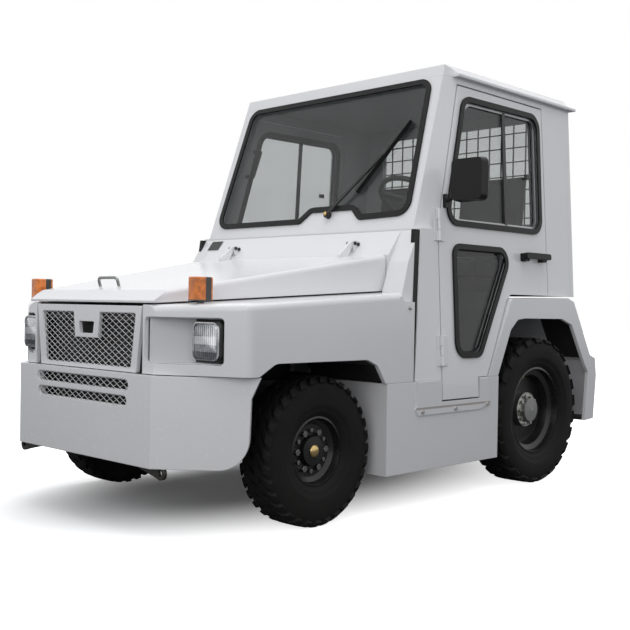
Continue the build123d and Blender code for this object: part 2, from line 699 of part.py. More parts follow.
def cowl_block(inset):
    """The cowl's outer form, set in by a thickness: a middle part and a cheek at each side of the bonnet."""
    foot = (wing_top(WING_END_Y) + RUNNING) if not inset else STEP_Z - 40
    cheek_foot = (STEP_Z + RUNNING) if not inset else STEP_Z - 40
    top_z = COWL_TOP_Z - inset * 1.3
    rear_top = (cab_front_y(COWL_TOP_Z) - COWL_SEAL, top_z)
    with BuildPart() as block:
        with BuildSketch(side_plane(-CHEEK_X + inset)) as middle:
            with BuildLine():
                Polyline(
                    (COWL_Y + inset, foot),
                    (COWL_Y + inset, BONNET_REAR_Z - inset * 0.5),
                    rear_top,
                    (cab_front_y(foot) - COWL_SEAL, foot),
                    (COWL_Y + inset, foot),
                )
            make_face()
        extrude(middle.sketch, amount=2 * (CHEEK_X - inset))
        for side in (1, -1):
            with BuildSketch(side_plane(side * (CHEEK_X + inset))) as cheek:
                with BuildLine():
                    Polyline(
                        (CHEEK_FOOT_Y + inset, cheek_foot),
                        (CHEEK_TOP_Y + inset, CHEEK_TOP_Z),
                        rear_top,
                        (cab_front_y(cheek_foot) - COWL_SEAL, cheek_foot),
                        (CHEEK_FOOT_Y + inset, cheek_foot),
                    )
                make_face()
            extrude(cheek.sketch, amount=side * (HALF_WIDTH - CHEEK_X - inset))
            lean = Plane(
                origin=(side * (HALF_WIDTH - 3 - inset), 0, WING_BOTTOM_Z),
                x_dir=(0, 1, 0),
                z_dir=(side, 0, SIDE_LEAN),
            )
            split(bisect_by=lean, keep=Keep.BOTTOM)
    return block.part


def strip_room(side, grow):
    """The body seal's form at one side: a strip between the wing and the cowl in front and the cab behind."""
    with BuildPart() as room:
        with BuildSketch(side_plane(0)) as outline:
            with BuildLine():
                Polyline(
                    (WING_END_Y + RUNNING, WING_BOTTOM_Z + 2),
                    (WING_END_Y + RUNNING, STEP_Z - RUNNING),
                    (cab_front_y(STEP_Z) - STRIP_DEPTH - grow, STEP_Z - RUNNING),
                    (cab_front_y(COWL_TOP_Z) - STRIP_DEPTH - grow, COWL_TOP_Z + grow),
                    (cab_front_y(COWL_TOP_Z) - RUNNING, COWL_TOP_Z + grow),
                    (cab_front_y(WING_BOTTOM_Z + 2) - RUNNING, WING_BOTTOM_Z + 2),
                    (WING_END_Y + RUNNING, WING_BOTTOM_Z + 2),
                )
            make_face()
        extrude(outline.sketch, amount=side * HALF_WIDTH)
        outer_reach = STRIP_INSET - 10 * grow
        inner_reach = STRIP_INSET + STRIP_WIDTH + grow
        for reach, keep in ((outer_reach, Keep.BOTTOM), (inner_reach, Keep.TOP)):
            lean = Plane(
                origin=(side * (HALF_WIDTH - reach), 0, WING_BOTTOM_Z),
                x_dir=(0, 1, 0),
                z_dir=(side, 0, SIDE_LEAN),
            )
            split(bisect_by=lean, keep=keep)
    return room.part


with BuildPart() as cowl:
    add(cowl_block(0))
    add(cowl_block(BONNET_SKIN), mode=Mode.SUBTRACT)
    for hinge_x in (-BONNET_HINGE_X, BONNET_HINGE_X):
        for ear_x in (hinge_x - STRAP_THICK / 2 - EAR_CLEAR - EAR_THICK, hinge_x + STRAP_THICK / 2 + EAR_CLEAR):
            with BuildSketch(side_plane(ear_x)) as ear:
                with BuildLine():
                    Polyline(
                        (BONNET_HINGE_Y - 11, BONNET_HINGE_Z + 8),
                        (BONNET_HINGE_Y + 8, BONNET_HINGE_Z + 11),
                        (BONNET_HINGE_Y + 50, BONNET_HINGE_Z + 2),
                        (BONNET_HINGE_Y - 2, BONNET_HINGE_Z - 44),
                        (BONNET_HINGE_Y - 11, BONNET_HINGE_Z + 8),
                    )
                make_face()
            extrude(ear.sketch, amount=EAR_THICK)
        with BuildSketch(side_plane(hinge_x - COWL_PIN_HALF)) as pin:
            with Locations((BONNET_HINGE_Y, BONNET_HINGE_Z)):
                Circle(STRAP_HOLE_R)
        extrude(pin.sketch, amount=2 * COWL_PIN_HALF)
    for side in (1, -1):
        add(strip_room(side, RUNNING), mode=Mode.SUBTRACT)
write(cowl, "cowl")

# Body seal: the rubber strips down both sides of the joint in front of the cab
with BuildPart() as body_seal:
    add(strip_room(1, 0))
    add(strip_room(-1, 0))
write(body_seal, "body_seal")

# Cab shell: leaning sides, raked windscreen wall and front corners cut off by a sloping facet
FLANGE = 5
SILL_Z = 458
SILL_REAR_Y = 1690
DECK_Z = 930
ROOF_EDGE_X = HALF_WIDTH - 108
FACET_X = HALF_WIDTH - 78
WINDOW_GLASS = 6
DOOR_OUTLINE = (
    # station, height
    (DOOR_FRONT_Y, DOOR_BOTTOM_Z),
    (DOOR_FOOT_Y, DOOR_BOTTOM_Z),
    (DOOR_FOOT_Y, 550),
    (1680, 550),
    (1706, 600),
    (1864, 906),
    (1912, 931),
    (DOOR_REAR_Y, 931),
    (DOOR_REAR_Y - 16, DOOR_TOP_Z),
    (DOOR_TOP_Y, DOOR_TOP_Z),
    (DOOR_FRONT_Y, 1200),
)


def screen_y(z):
    """Outer face of the windscreen wall at a height above the fold."""
    return FOLD_Y + SCREEN_LEAN * (z - FOLD_Z)


def corner_facet(side, inset):
    """What the sloping facet takes off a front corner of the cab, above the fold."""
    with BuildPart() as corner:
        with BuildSketch(Plane.XY.offset(FOLD_Z - inset)) as base:
            with Locations((side * HALF_WIDTH / 2, (FOLD_Y + 1600) / 2)):
                Rectangle(HALF_WIDTH + 40, 1600 - FOLD_Y + 200)
        extrude(base.sketch, amount=ROOF_Z - FOLD_Z + 100)
        facet = Plane(
            origin=(side * (FACET_X - inset * 1.05), FOLD_Y, FOLD_Z),
            x_dir=(0, 1, 0.3),
            z_dir=(side, -0.3144, 0.1389),
        )
        split(bisect_by=facet, keep=Keep.TOP)
    return corner.part


def cab_block(inset):
    """The cab's outer form, set in by the walls' thickness and left open below."""
    foot = SILL_Z - (60 if inset else 0)
    drop = 60 if inset else 0
    with BuildPart() as block:
        with BuildSketch(side_plane(-HALF_WIDTH - 10)):
            with BuildLine():
                Polyline(
                    (cab_front_y(foot) + inset, foot),
                    (FOLD_Y + inset, FOLD_Z),
                    (screen_y(ROOF_Z) + inset * 1.05, ROOF_Z),
                    (CAB_REAR_Y - inset, ROOF_Z),
                    (CAB_REAR_Y - inset, DECK_Z - drop),
                    (1890 + drop, DECK_Z - drop),
                    (SILL_REAR_Y + drop, foot),
                    (cab_front_y(foot) + inset, foot),
                )
            make_face()
        extrude(amount=2 * HALF_WIDTH + 20)
        if inset:
            split(bisect_by=Plane.XY.offset(ROOF_Z - inset), keep=Keep.BOTTOM)
        for side in (1, -1):
            lean = Plane(
                origin=(side * (HALF_WIDTH - inset), 0, WING_BOTTOM_Z),
                x_dir=(0, 1, 0),
                z_dir=(side, 0, SIDE_LEAN),
            )
            split(bisect_by=lean, keep=Keep.BOTTOM)
            add(corner_facet(side, inset), mode=Mode.SUBTRACT)
    return block.part


def side_region(points, x=-HALF_WIDTH - 20, width=2 * HALF_WIDTH + 40):
    """A prism over a side-view outline, right across the vehicle."""
    with BuildPart() as region:
        with BuildSketch(side_plane(x)):
            with BuildLine():
                Polyline(*points, points[0])
            make_face()
        extrude(amount=width)
    return region.part


def grown(points, amount):
    """A side-view outline moved outwards."""
    with BuildSketch() as outline:
        with BuildLine():
            Polyline(*points, points[0])
        make_face()
        offset(amount=amount, kind=Kind.INTERSECTION)
    return outline.sketch


with BuildPart() as cab_shell:
    add(cab_block(0))
    add(cab_block(WALL), mode=Mode.SUBTRACT)

FRONT_SEAM = (
    (DOOR_FRONT_Y - GAP, 380),
    (DOOR_FRONT_Y - GAP, 1200),
    (DOOR_TOP_Y - GAP, DOOR_TOP_Z),
    (screen_y(ROOF_SEAM_Z) + 85, ROOF_SEAM_Z),
)
front_region = side_region((*FRONT_SEAM, (1000, ROOF_SEAM_Z), (1000, 380)))
rear_region = side_region(
    ((CAB_REAR_Y - WALL, 800), (CAB_REAR_Y - WALL, ROOF_SEAM_Z), (LENGTH, ROOF_SEAM_Z), (LENGTH, 800))
)

# Windscreen opening: rounded corners and a raised step in the lower edge that clears the wiper's spindle
SCREEN_FOOT_X = HALF_WIDTH - 115
SCREEN_TOP_X = HALF_WIDTH - 156
SCREEN_TOP_Z = ROOF_SEAM_Z - 5
SCREEN_OUTLINE = (
    # half-width position, height, corner radius
    (-SCREEN_FOOT_X + 5, 1252, 70),
    (-24, 1252, 30),
    (38, 1304, 30),
    (297, 1304, 30),
    (352, 1254, 30),
    (SCREEN_FOOT_X, 1262, 70),
    (SCREEN_TOP_X, SCREEN_TOP_Z, 66),
    (-SCREEN_TOP_X, SCREEN_TOP_Z, 66),
)
SCREEN_SLOPE = hypot(1, SCREEN_LEAN)
SCREEN_PLANE = Plane(
    origin=(0, FOLD_Y, FOLD_Z), x_dir=(1, 0, 0), z_dir=(0, -1, SCREEN_LEAN)
)


def screen_outline(inset):
    """The windscreen opening's face in its own plane, set in evenly."""
    with BuildSketch() as outline:
        with BuildLine():
            FilletPolyline(
                *[(x, (z - FOLD_Z) * SCREEN_SLOPE) for x, z, radius in SCREEN_OUTLINE],
                radius=[radius for x, z, radius in SCREEN_OUTLINE],
                close=True,
            )
        make_face()
        if inset:
            offset(amount=-inset)
    return outline.sketch


# Door hinges: a leaf on the cab and one on the door, barrels in thirds round a pin outside the wall
HINGES = (
    # height of the middle, height of the leaf
    (675, 132),
    (1225, 141),
)
HINGE_STANDOFF = 10
HINGE_R = 8
HINGE_PIN_R = 5
LEAF_THICK = 4
KNUCKLE_CLEAR = 1


def hinge_plane(z):
    """Square to the hinge line at a height: x to the rear, y inwards; the wall's face is at the standoff."""
    return Plane(
        origin=(side_x(z) + HINGE_STANDOFF, DOOR_HINGE_Y, z), x_dir=(0, 1, 0), z_dir=(-SIDE_LEAN, 0, 1)
    )


def hinge_leaf(z, height, start, end):
    """A flat leaf on the wall, between two distances from the hinge line."""
    with BuildSketch(hinge_plane(z - height / 2)) as leaf:
        with Locations(((start + end) / 2, HINGE_STANDOFF - LEAF_THICK / 2)):
            Rectangle(abs(end - start), LEAF_THICK)
    extrude(leaf.sketch, amount=height)


def hinge_barrel(z, length, reach, pin_radius):
    """A barrel and the tongue that joins it to its leaf; reach is the tongue's direction and length."""
    with BuildSketch(hinge_plane(z - length / 2)) as barrel:
        Circle(HINGE_R)
        with Locations((reach / 2, HINGE_STANDOFF / 2 - 1)):
            Rectangle(abs(reach), HINGE_STANDOFF - LEAF_THICK)
        if pin_radius:
            Circle(pin_radius, mode=Mode.SUBTRACT)
    extrude(barrel.sketch, amount=length)


RUBBER = 26
RUBBER_HEIGHT = 9
with BuildPart() as cab_hinges:
    for hinge_z, leaf_height in HINGES:
        hinge_leaf(hinge_z, leaf_height, -28, -6)
        for step in (-1, 1):
            hinge_barrel(hinge_z + step * leaf_height / 3, leaf_height / 3, -12, 0)
        with BuildSketch(hinge_plane(hinge_z - leaf_height / 2)) as hinge_pin_face:
            Circle(HINGE_PIN_R)
        extrude(hinge_pin_face.sketch, amount=leaf_height)
with BuildPart() as cab_front:
    add(cab_shell.part)
    add(front_region, mode=Mode.INTERSECT)
    with BuildSketch(SCREEN_PLANE) as screen_cut:
        add(screen_outline(RUBBER / 2))
    extrude(screen_cut.sketch, amount=2 * WALL, both=True, mode=Mode.SUBTRACT)
    split(bisect_by=Plane.XY.offset(WING_BOTTOM_Z), keep=Keep.TOP)
    add(cab_hinges.part)
    mirror(cab_hinges.part, about=Plane.YZ)
write(cab_front, "cab_front")

with BuildPart() as windscreen_seal:
    with BuildSketch(SCREEN_PLANE.offset(RUNNING)) as seal_outer:
        add(screen_outline(0))
        add(screen_outline(RUBBER), mode=Mode.SUBTRACT)
    extrude(seal_outer.sketch, amount=RUBBER_HEIGHT)
write(windscreen_seal, "windscreen_seal")

# Glass: a pane set inside an opening, 0.4 mm clear of its edge
PANE_CLEAR = 0.4
REAR_WINDOW = (
    # half width, bottom, top, corner radius
    HALF_WIDTH - 212,
    1318,
    DOOR_TOP_Z,
    60,
)


def rear_window(grow):
    """The rear window's outline, grown evenly."""
    half, bottom, top, radius = REAR_WINDOW
    with BuildSketch() as outline:
        with Locations((0, (bottom + top) / 2)):
            RectangleRounded(2 * (half + grow), top - bottom + 2 * grow, radius + grow)
    return outline.sketch


with BuildPart() as cab_glass:
    with BuildSketch(SCREEN_PLANE.offset(-12)) as screen_pane:
        add(screen_outline(RUBBER / 2 + PANE_CLEAR))
    extrude(screen_pane.sketch, amount=WINDOW_GLASS)
    with BuildSketch(front_plane(CAB_REAR_Y - 20)) as rear_pane:
        add(rear_window(-PANE_CLEAR))
    extrude(rear_pane.sketch, amount=WINDOW_GLASS)
write(cab_glass, "cab_glass")

with BuildPart() as cab_rear:
    add(cab_shell.part)
    add(rear_region, mode=Mode.INTERSECT)
    with BuildSketch(front_plane(CAB_REAR_Y)) as rear_cut:
        add(rear_window(0))
    extrude(rear_cut.sketch, amount=2 * WALL, both=True, mode=Mode.SUBTRACT)
write(cab_rear, "cab_rear")

# Rear guard: welded square wire mesh over the rear window, outside
WIRE = 6
WIRE_PITCH = 78
GUARD_HALF = HALF_WIDTH - 175
GUARD_BOTTOM_Z = 1290
GUARD_TOP_Z = ROOF_SEAM_Z - 13
GUARD_FRAME = 12
GUARD_STANDOFF = 4
with BuildPart() as rear_guard:
    guard_height = GUARD_TOP_Z - GUARD_BOTTOM_Z
    guard_plane = front_plane(CAB_REAR_Y + GUARD_STANDOFF + WIRE)
    with BuildSketch(guard_plane):
        with Locations((0, (GUARD_TOP_Z + GUARD_BOTTOM_Z) / 2)):
            Rectangle(2 * GUARD_HALF, guard_height)
            Rectangle(2 * (GUARD_HALF - GUARD_FRAME), guard_height - 2 * GUARD_FRAME, mode=Mode.SUBTRACT)
            with GridLocations(WIRE_PITCH, 0, 14, 1):
                Rectangle(WIRE, guard_height - GUARD_FRAME)
            with GridLocations(0, WIRE_PITCH, 1, 7):
                Rectangle(2 * GUARD_HALF - GUARD_FRAME, WIRE)
    extrude(amount=WIRE)
    with BuildSketch(guard_plane):
        with Locations((0, (GUARD_TOP_Z + GUARD_BOTTOM_Z) / 2)):
            with GridLocations(2 * GUARD_HALF - GUARD_FRAME, guard_height - GUARD_FRAME, 2, 2):
                Circle(10)
    extrude(amount=WIRE + GUARD_STANDOFF)
write(rear_guard, "rear_guard")

# Roof: the panel with its turned-down edge, and a rain gutter along the sides and the rear
GUTTER_X = ROOF_EDGE_X + 55
GUTTER_START_Y = 1492
GUTTER_REAR_Y = CAB_REAR_Y + 37
GUTTER_HEIGHT = 12
with BuildPart() as roof:
    add(cab_shell.part)
    split(bisect_by=Plane.XY.offset(ROOF_SEAM_Z), keep=Keep.TOP)
    for side in (1, -1):
        edge_plane = Plane(origin=(side * ROOF_EDGE_X, 0, ROOF_Z), x_dir=(0, 1, 0), z_dir=(side, 0, 0.86))
        split(bisect_by=edge_plane, keep=Keep.BOTTOM)
    with BuildSketch(Plane.XY.offset(ROOF_SEAM_Z)) as gutter:
        with Locations((0, (GUTTER_START_Y + GUTTER_REAR_Y) / 2)):
            Rectangle(2 * GUTTER_X, GUTTER_REAR_Y - GUTTER_START_Y)
        with Locations((0, (GUTTER_START_Y + CAB_REAR_Y - WALL) / 2 - 50)):
            Rectangle(2 * (ROOF_EDGE_X + 4), CAB_REAR_Y - WALL - GUTTER_START_Y + 100, mode=Mode.SUBTRACT)
    extrude(gutter.sketch, amount=GUTTER_HEIGHT)
write(roof, "roof")

# Doors: slabs cut from the side walls, with their windows, rubber, glass and hinge barrels
SIDE_SLOPE = hypot(1, SIDE_LEAN)
SIDE_FACE = Plane(origin=(side_x(0), 0, 0), x_dir=(0, 1, 0), z_dir=(1, 0, SIDE_LEAN))
UPPER_WINDOW = (
    # station, height, corner radius
    (1376, 1228, 75),
    (DOOR_TOP_Y + 25, DOOR_TOP_Z - 40, 75),
    (DOOR_REAR_Y - 46, DOOR_TOP_Z - 34, 80),
    (DOOR_REAR_Y - 46, 1232, 80),
)
LOWER_WINDOW = (
    (1431, 1151, 55),
    (1927, 1152, 72),
    (1629, 637, 62),
    (1434, 637, 78),
)


def window_outline(corners, inset):
    """A door window's face in the side wall's plane, set in evenly."""
    with BuildSketch() as outline:
        with BuildLine():
            FilletPolyline(
                *[(y, z * SIDE_SLOPE) for y, z, radius in corners],
                radius=[radius for y, z, radius in corners],
                close=True,
            )
        make_face()
        if inset:
            offset(amount=-inset)
    return outline.sketch


with BuildPart() as door:
    add(cab_shell.part)
    add(side_region(DOOR_OUTLINE, 0, HALF_WIDTH + 20), mode=Mode.INTERSECT)
    with BuildSketch(SIDE_FACE) as window_cuts:
        add(window_outline(UPPER_WINDOW, RUBBER / 2))
        add(window_outline(LOWER_WINDOW, RUBBER / 2))
    extrude(window_cuts.sketch, amount=2 * WALL, both=True, mode=Mode.SUBTRACT)
    for hinge_z, leaf_height in HINGES:
        hinge_leaf(hinge_z, leaf_height, 8, 42)
        hinge_barrel(hinge_z, leaf_height / 3 - 2 * KNUCKLE_CLEAR, 12, HINGE_PIN_R + RUNNING)
write_sides(door, "door")

# Door panes: in the middle of the wall
with BuildPart() as door_glass:
    with BuildSketch(SIDE_FACE.offset(-WALL / 2)) as panes:
        add(window_outline(UPPER_WINDOW, RUBBER / 2 + PANE_CLEAR))
        add(window_outline(LOWER_WINDOW, RUBBER / 2 + PANE_CLEAR))
    extrude(panes.sketch, amount=WINDOW_GLASS)
write_sides(door_glass, "door_glass")

# Door fittings: the windows' rubbers, and a bar handle on two feet
HANDLE_Y = DOOR_REAR_Y - 135
HANDLE_Z = 1116
HANDLE_LENGTH = 222
HANDLE_FOOT = 44
HANDLE_HEIGHT = 24
with BuildPart() as door_seals:
    with BuildSketch(SIDE_FACE.offset(RUNNING)) as rubbers:
        add(window_outline(UPPER_WINDOW, 0))
        add(window_outline(UPPER_WINDOW, RUBBER), mode=Mode.SUBTRACT)
        add(window_outline(LOWER_WINDOW, 0))
        add(window_outline(LOWER_WINDOW, RUBBER), mode=Mode.SUBTRACT)
    extrude(rubbers.sketch, amount=RUBBER_HEIGHT)
    front_foot_y = HANDLE_Y - HANDLE_LENGTH / 2 + 24
    rear_foot_y = HANDLE_Y + HANDLE_LENGTH / 2 - 40
    with BuildSketch(SIDE_FACE.offset(RUNNING)) as handle_feet:
        with Locations((front_foot_y, HANDLE_Z), (rear_foot_y, HANDLE_Z)):
            RectangleRounded(HANDLE_FOOT, HANDLE_FOOT - 4, 8)
    extrude(handle_feet.sketch, amount=HANDLE_HEIGHT + 2)
    with BuildSketch(SIDE_FACE.offset(HANDLE_HEIGHT)) as handle_bar:
        with Locations((HANDLE_Y, HANDLE_Z + 6)):
            RectangleRounded(HANDLE_LENGTH, 30, 12)
    extrude(handle_bar.sketch, amount=18)
write_sides(door_seals, "door_fittings")

# Cab sides: what is left of each side wall round the door, with the bolted sill flange
FLANGE_START_Y = 1152
SILL_BOLTS = (
    # station, height
    (1192, 418),
    (1430, 418),
    (1679, 424),
)
SILL_BOLT_R = 9
with BuildPart() as cab_side:
    add(cab_shell.part)
    below_roof = ((0, ROOF_SEAM_Z), (3000, ROOF_SEAM_Z), (3000, 300), (0, 300))
    add(side_region(below_roof, 0, HALF_WIDTH + 20), mode=Mode.INTERSECT)
    add(front_region, mode=Mode.SUBTRACT)
    add(rear_region, mode=Mode.SUBTRACT)
    with BuildSketch(side_plane(400)) as opening:
        add(grown(DOOR_OUTLINE, GAP))
    extrude(opening.sketch, amount=600, mode=Mode.SUBTRACT)
    fender_room = ((SILL_REAR_Y - 8, 300), (SILL_REAR_Y - 8, DECK_Z), (LENGTH, DECK_Z), (LENGTH, 300))
    add(side_region(fender_room), mode=Mode.SUBTRACT)
    split(bisect_by=Plane.XY.offset(WING_BOTTOM_Z), keep=Keep.TOP)
    with BuildSketch(side_plane(HALF_WIDTH)) as flange:
        with BuildLine():
            Polyline(
                (FLANGE_START_Y, WING_BOTTOM_Z - 2),
                (FLANGE_START_Y + 5, 450),
                (FLANGE_START_Y - 6, 429),
                (FLANGE_START_Y + 13, 402),
                (1623, 402),
                (1703, 425),
                (SILL_REAR_Y + 6, WING_BOTTOM_Z - 2),
                (FLANGE_START_Y, WING_BOTTOM_Z - 2),
            )
        make_face()
        add(grown(DOOR_OUTLINE, GAP), mode=Mode.SUBTRACT)
    extrude(flange.sketch, amount=FLANGE)
    with BuildSketch(side_plane(HALF_WIDTH + FLANGE)) as bolts:
        with Locations(*SILL_BOLTS):
            RegularPolygon(SILL_BOLT_R, 6)
    extrude(bolts.sketch, amount=7)
with BuildPart() as cab_sides:
    add(cab_side.part)
    mirror(cab_side.part, about=Plane.YZ)
write(cab_sides, "cab_sides")

# Chassis frame: two channel rails, cross-members, bumper brackets and the posts that hold the nose
POST_X = 368
BRACKET_WIDTH = 66
POST_TOP_Z = GRILLE_TOP_Z - 24
OUTRIGGERS_Y = (1010, 1750)
CROSS_MEMBERS = (
    # station, depth along the vehicle
    (120, 50),
    (OUTRIGGERS_Y[0], 60),
    (1430, 60),
    (OUTRIGGERS_Y[1], 60),
    (RAIL_END_Y - 40, 60),
)
SPRING_SPAN = 290
SPRING_EYE_Z = 424
SPRING_THICK = 34
BOX_INNER_X = HALF_WIDTH - 340
with BuildPart() as chassis_frame:
    with BuildSketch(front_plane(RAIL_START_Y)):
        for side in (1, -1):
            with Locations((side * RAIL_X, RAIL_Z + RAIL_H / 2)):
                Rectangle(RAIL_W, RAIL_H)
            with Locations((side * (RAIL_X - RAIL_WEB), RAIL_Z + RAIL_H / 2)):
                Rectangle(RAIL_W, RAIL_H - 20, mode=Mode.SUBTRACT)
    extrude(amount=-(RAIL_END_Y - RAIL_START_Y))
    for member_y, member_depth in CROSS_MEMBERS:
        with BuildSketch(front_plane(member_y - member_depth / 2)):
            with Locations((0, RAIL_Z + RAIL_H / 2)):
                Rectangle(2 * (RAIL_X + RAIL_W / 2 - RAIL_WEB), RAIL_H - 20)
        extrude(amount=-member_depth)
    # Outriggers to the side boxes
    for side in (1, -1):
        for outrigger_y in OUTRIGGERS_Y:
            with BuildSketch(front_plane(outrigger_y - 25)):
                with Locations((side * (RAIL_X + BOX_INNER_X) / 2, RAIL_Z + RAIL_H / 2 - 6)):
                    Rectangle(BOX_INNER_X - RAIL_X, RAIL_H - 30)
            extrude(amount=-50)
        # Bumper brackets and nose posts
        with BuildSketch(front_plane(BUMPER_THICK)):
            with Locations((side * (POST_X + 2), RAIL_Z + RAIL_H / 2)):
                Rectangle(BRACKET_WIDTH, RAIL_H)
        extrude(amount=-40)
        with BuildSketch(front_plane(NOSE_Y + SKIN)):
            with Locations((side * POST_X, (RAIL_Z + POST_TOP_Z) / 2)):
                Rectangle(40, POST_TOP_Z - RAIL_Z)
        extrude(amount=-22)
        with BuildSketch(front_plane(NOSE_Y + GRILLE_THICK)):
            with Locations((side * (GRILLE_TOP_X - 14), GRILLE_TOP_Z - 60)):
                Rectangle(18, 50)
        extrude(amount=-20)
        # Spring hangers
        for hanger_y in (FRONT_AXLE_Y - SPRING_SPAN, FRONT_AXLE_Y + SPRING_SPAN):
            with BuildSketch(side_plane(side * RAIL_X - 24)) as hanger:
                with BuildLine():
                    Polyline(
                        (hanger_y - 30, RAIL_Z + 4),
                        (hanger_y - 14, SPRING_EYE_Z + SPRING_THICK / 2 + RUNNING),
                        (hanger_y + 14, SPRING_EYE_Z + SPRING_THICK / 2 + RUNNING),
                        (hanger_y + 30, RAIL_Z + 4),
                        (hanger_y - 30, RAIL_Z + 4),
                    )
                make_face()
            extrude(hanger.sketch, amount=48)
    with BuildSketch(front_plane(NOSE_Y + SKIN + 4)):
        with Locations((0, POST_TOP_Z - 18)):
            Rectangle(2 * POST_X, 36)
    extrude(amount=-18)
write(chassis_frame, "chassis_frame")

# Side boxes: folded sheet skirts with a notch for the door's foot
BOX_START_Y = 963
BOX_END_Y = 1775
BOX_TOP_Z = WING_BOTTOM_Z - SEAT_CLEAR
NOTCH_CLEAR = 8
BOX_SKIN = 12


def box_outline(inset):
    """A side box's side view, set in by a thickness and left open below."""
    foot = GROUND_CLEARANCE - (40 if inset else 0)
    notch_front = DOOR_FRONT_Y - NOTCH_CLEAR - inset
    notch_rear = DOOR_FOOT_Y + NOTCH_CLEAR + inset
    notch_z = DOOR_BOTTOM_Z - NOTCH_CLEAR - inset
    return (
        (BOX_START_Y + inset, foot),
        (BOX_END_Y - inset, foot),
        (BOX_END_Y - inset, BOX_TOP_Z - inset),
        (notch_rear, BOX_TOP_Z - inset),
        (notch_rear, notch_z),
        (notch_front, notch_z),
        (notch_front, BOX_TOP_Z - inset),
        (BOX_START_Y + inset, BOX_TOP_Z - inset),
    )


with BuildPart() as side_box:
    add(side_region(box_outline(0), BOX_INNER_X, HALF_WIDTH - BOX_INNER_X))
    add(
        side_region(box_outline(BOX_SKIN), BOX_INNER_X + BOX_SKIN, HALF_WIDTH - BOX_INNER_X - 2 * BOX_SKIN),
        mode=Mode.SUBTRACT,
    )
with BuildPart() as side_boxes:
    add(side_box.part)
    mirror(side_box.part, about=Plane.YZ)
write(side_boxes, "side_boxes")

# Rear fenders: folded sheet over the rear wheels, with a faceted arch and a tail piece
FENDER_INNER_X = HALF_WIDTH - 220
FENDER_SKIN = 18
TAIL_EDGE_Z = 514
TAIL_BOTTOM_Z = 284
TAIL_TUCK = 23
FENDER_OUTLINE = (
    (1692, WING_BOTTOM_Z),
    (1872, 900),
    (1888, 912),
    (BODY_END_Y - 313, 922),
    (BODY_END_Y - 251, 903),
    (BODY_END_Y - 70, 624),
    (BODY_END_Y - 15, 606),
    (BODY_END_Y, TAIL_EDGE_Z),
    (BODY_END_Y - TAIL_TUCK, TAIL_BOTTOM_Z),
    (BODY_END_Y - 133, 278),
    (1770, WING_BOTTOM_Z),
)
ARCH_OUTLINE = (
    (1770, 500),
    (1770, 547),
    (1873, 762),
    (1932, 810),
    (1994, 817),
    (BODY_END_Y - 369, 815),
    (BODY_END_Y - 267, 784),
    (BODY_END_Y - 122, 572),
    (BODY_END_Y - 88, 534),
    (BODY_END_Y - 113, 284),
    (BODY_END_Y - 123, 200),
    (1900, 200),
)
with BuildPart() as rear_fender:
    add(side_region(FENDER_OUTLINE, FENDER_INNER_X, HALF_WIDTH - FENDER_INNER_X))
    with BuildSketch(side_plane(FENDER_INNER_X)) as hollow:
        add(grown(FENDER_OUTLINE, -FENDER_SKIN))
    extrude(hollow.sketch, amount=HALF_WIDTH - FENDER_INNER_X - FENDER_SKIN, mode=Mode.SUBTRACT)
    add(side_region(ARCH_OUTLINE, FENDER_INNER_X - 1, HALF_WIDTH), mode=Mode.SUBTRACT)
with BuildPart() as rear_fenders:
    add(rear_fender.part)
    mirror(rear_fender.part, about=Plane.YZ)
write(rear_fenders, "rear_fenders")

# Tail: the cast counterweight between the fenders, and the sloped cover up to the cab
TAIL_FRONT_Y = BODY_END_Y - 113
TAIL_OUTLINE = (
    (TAIL_FRONT_Y, TAIL_BOTTOM_Z),
    (BODY_END_Y - TAIL_TUCK, TAIL_BOTTOM_Z),
    (BODY_END_Y, TAIL_EDGE_Z),
    (BODY_END_Y - 15, 606),
    (BODY_END_Y - 70, 624),
    (BODY_END_Y - 251, 903),
    (BODY_END_Y - 283, 913),
    (BODY_END_Y - 283, 895),
    (BODY_END_Y - 263, 888),
    (TAIL_FRONT_Y, 657),
)
with BuildPart() as rear_body:
    add(side_region(TAIL_OUTLINE, -FENDER_INNER_X, 2 * FENDER_INNER_X))
write(rear_body, "rear_body")


def tail_y(z):
    """The counterweight's rear face at a height."""
    return BODY_END_Y - TAIL_TUCK * (TAIL_EDGE_Z - z) / (TAIL_EDGE_Z - TAIL_BOTTOM_Z)


TAIL_FACE = Plane(
    origin=(0, BODY_END_Y, TAIL_EDGE_Z), x_dir=(-1, 0, 0), z_dir=(0, TAIL_EDGE_Z - TAIL_BOTTOM_Z, -TAIL_TUCK)
)
TAIL_LAMP_X = HALF_WIDTH - 110
TAIL_LAMP_DROP = 70
TAIL_LAMP_WIDTH = 96
TAIL_LAMP_HEIGHT = 110

# Rear lamps: a rounded block at each side of the counterweight's face
with BuildPart() as rear_lamps:
    with BuildSketch(TAIL_FACE.offset(RUNNING)):
        with Locations((TAIL_LAMP_X, -TAIL_LAMP_DROP), (-TAIL_LAMP_X, -TAIL_LAMP_DROP)):
            RectangleRounded(TAIL_LAMP_WIDTH, TAIL_LAMP_HEIGHT, 10)
    extrude(amount=30)
write(rear_lamps, "rear_lamps")

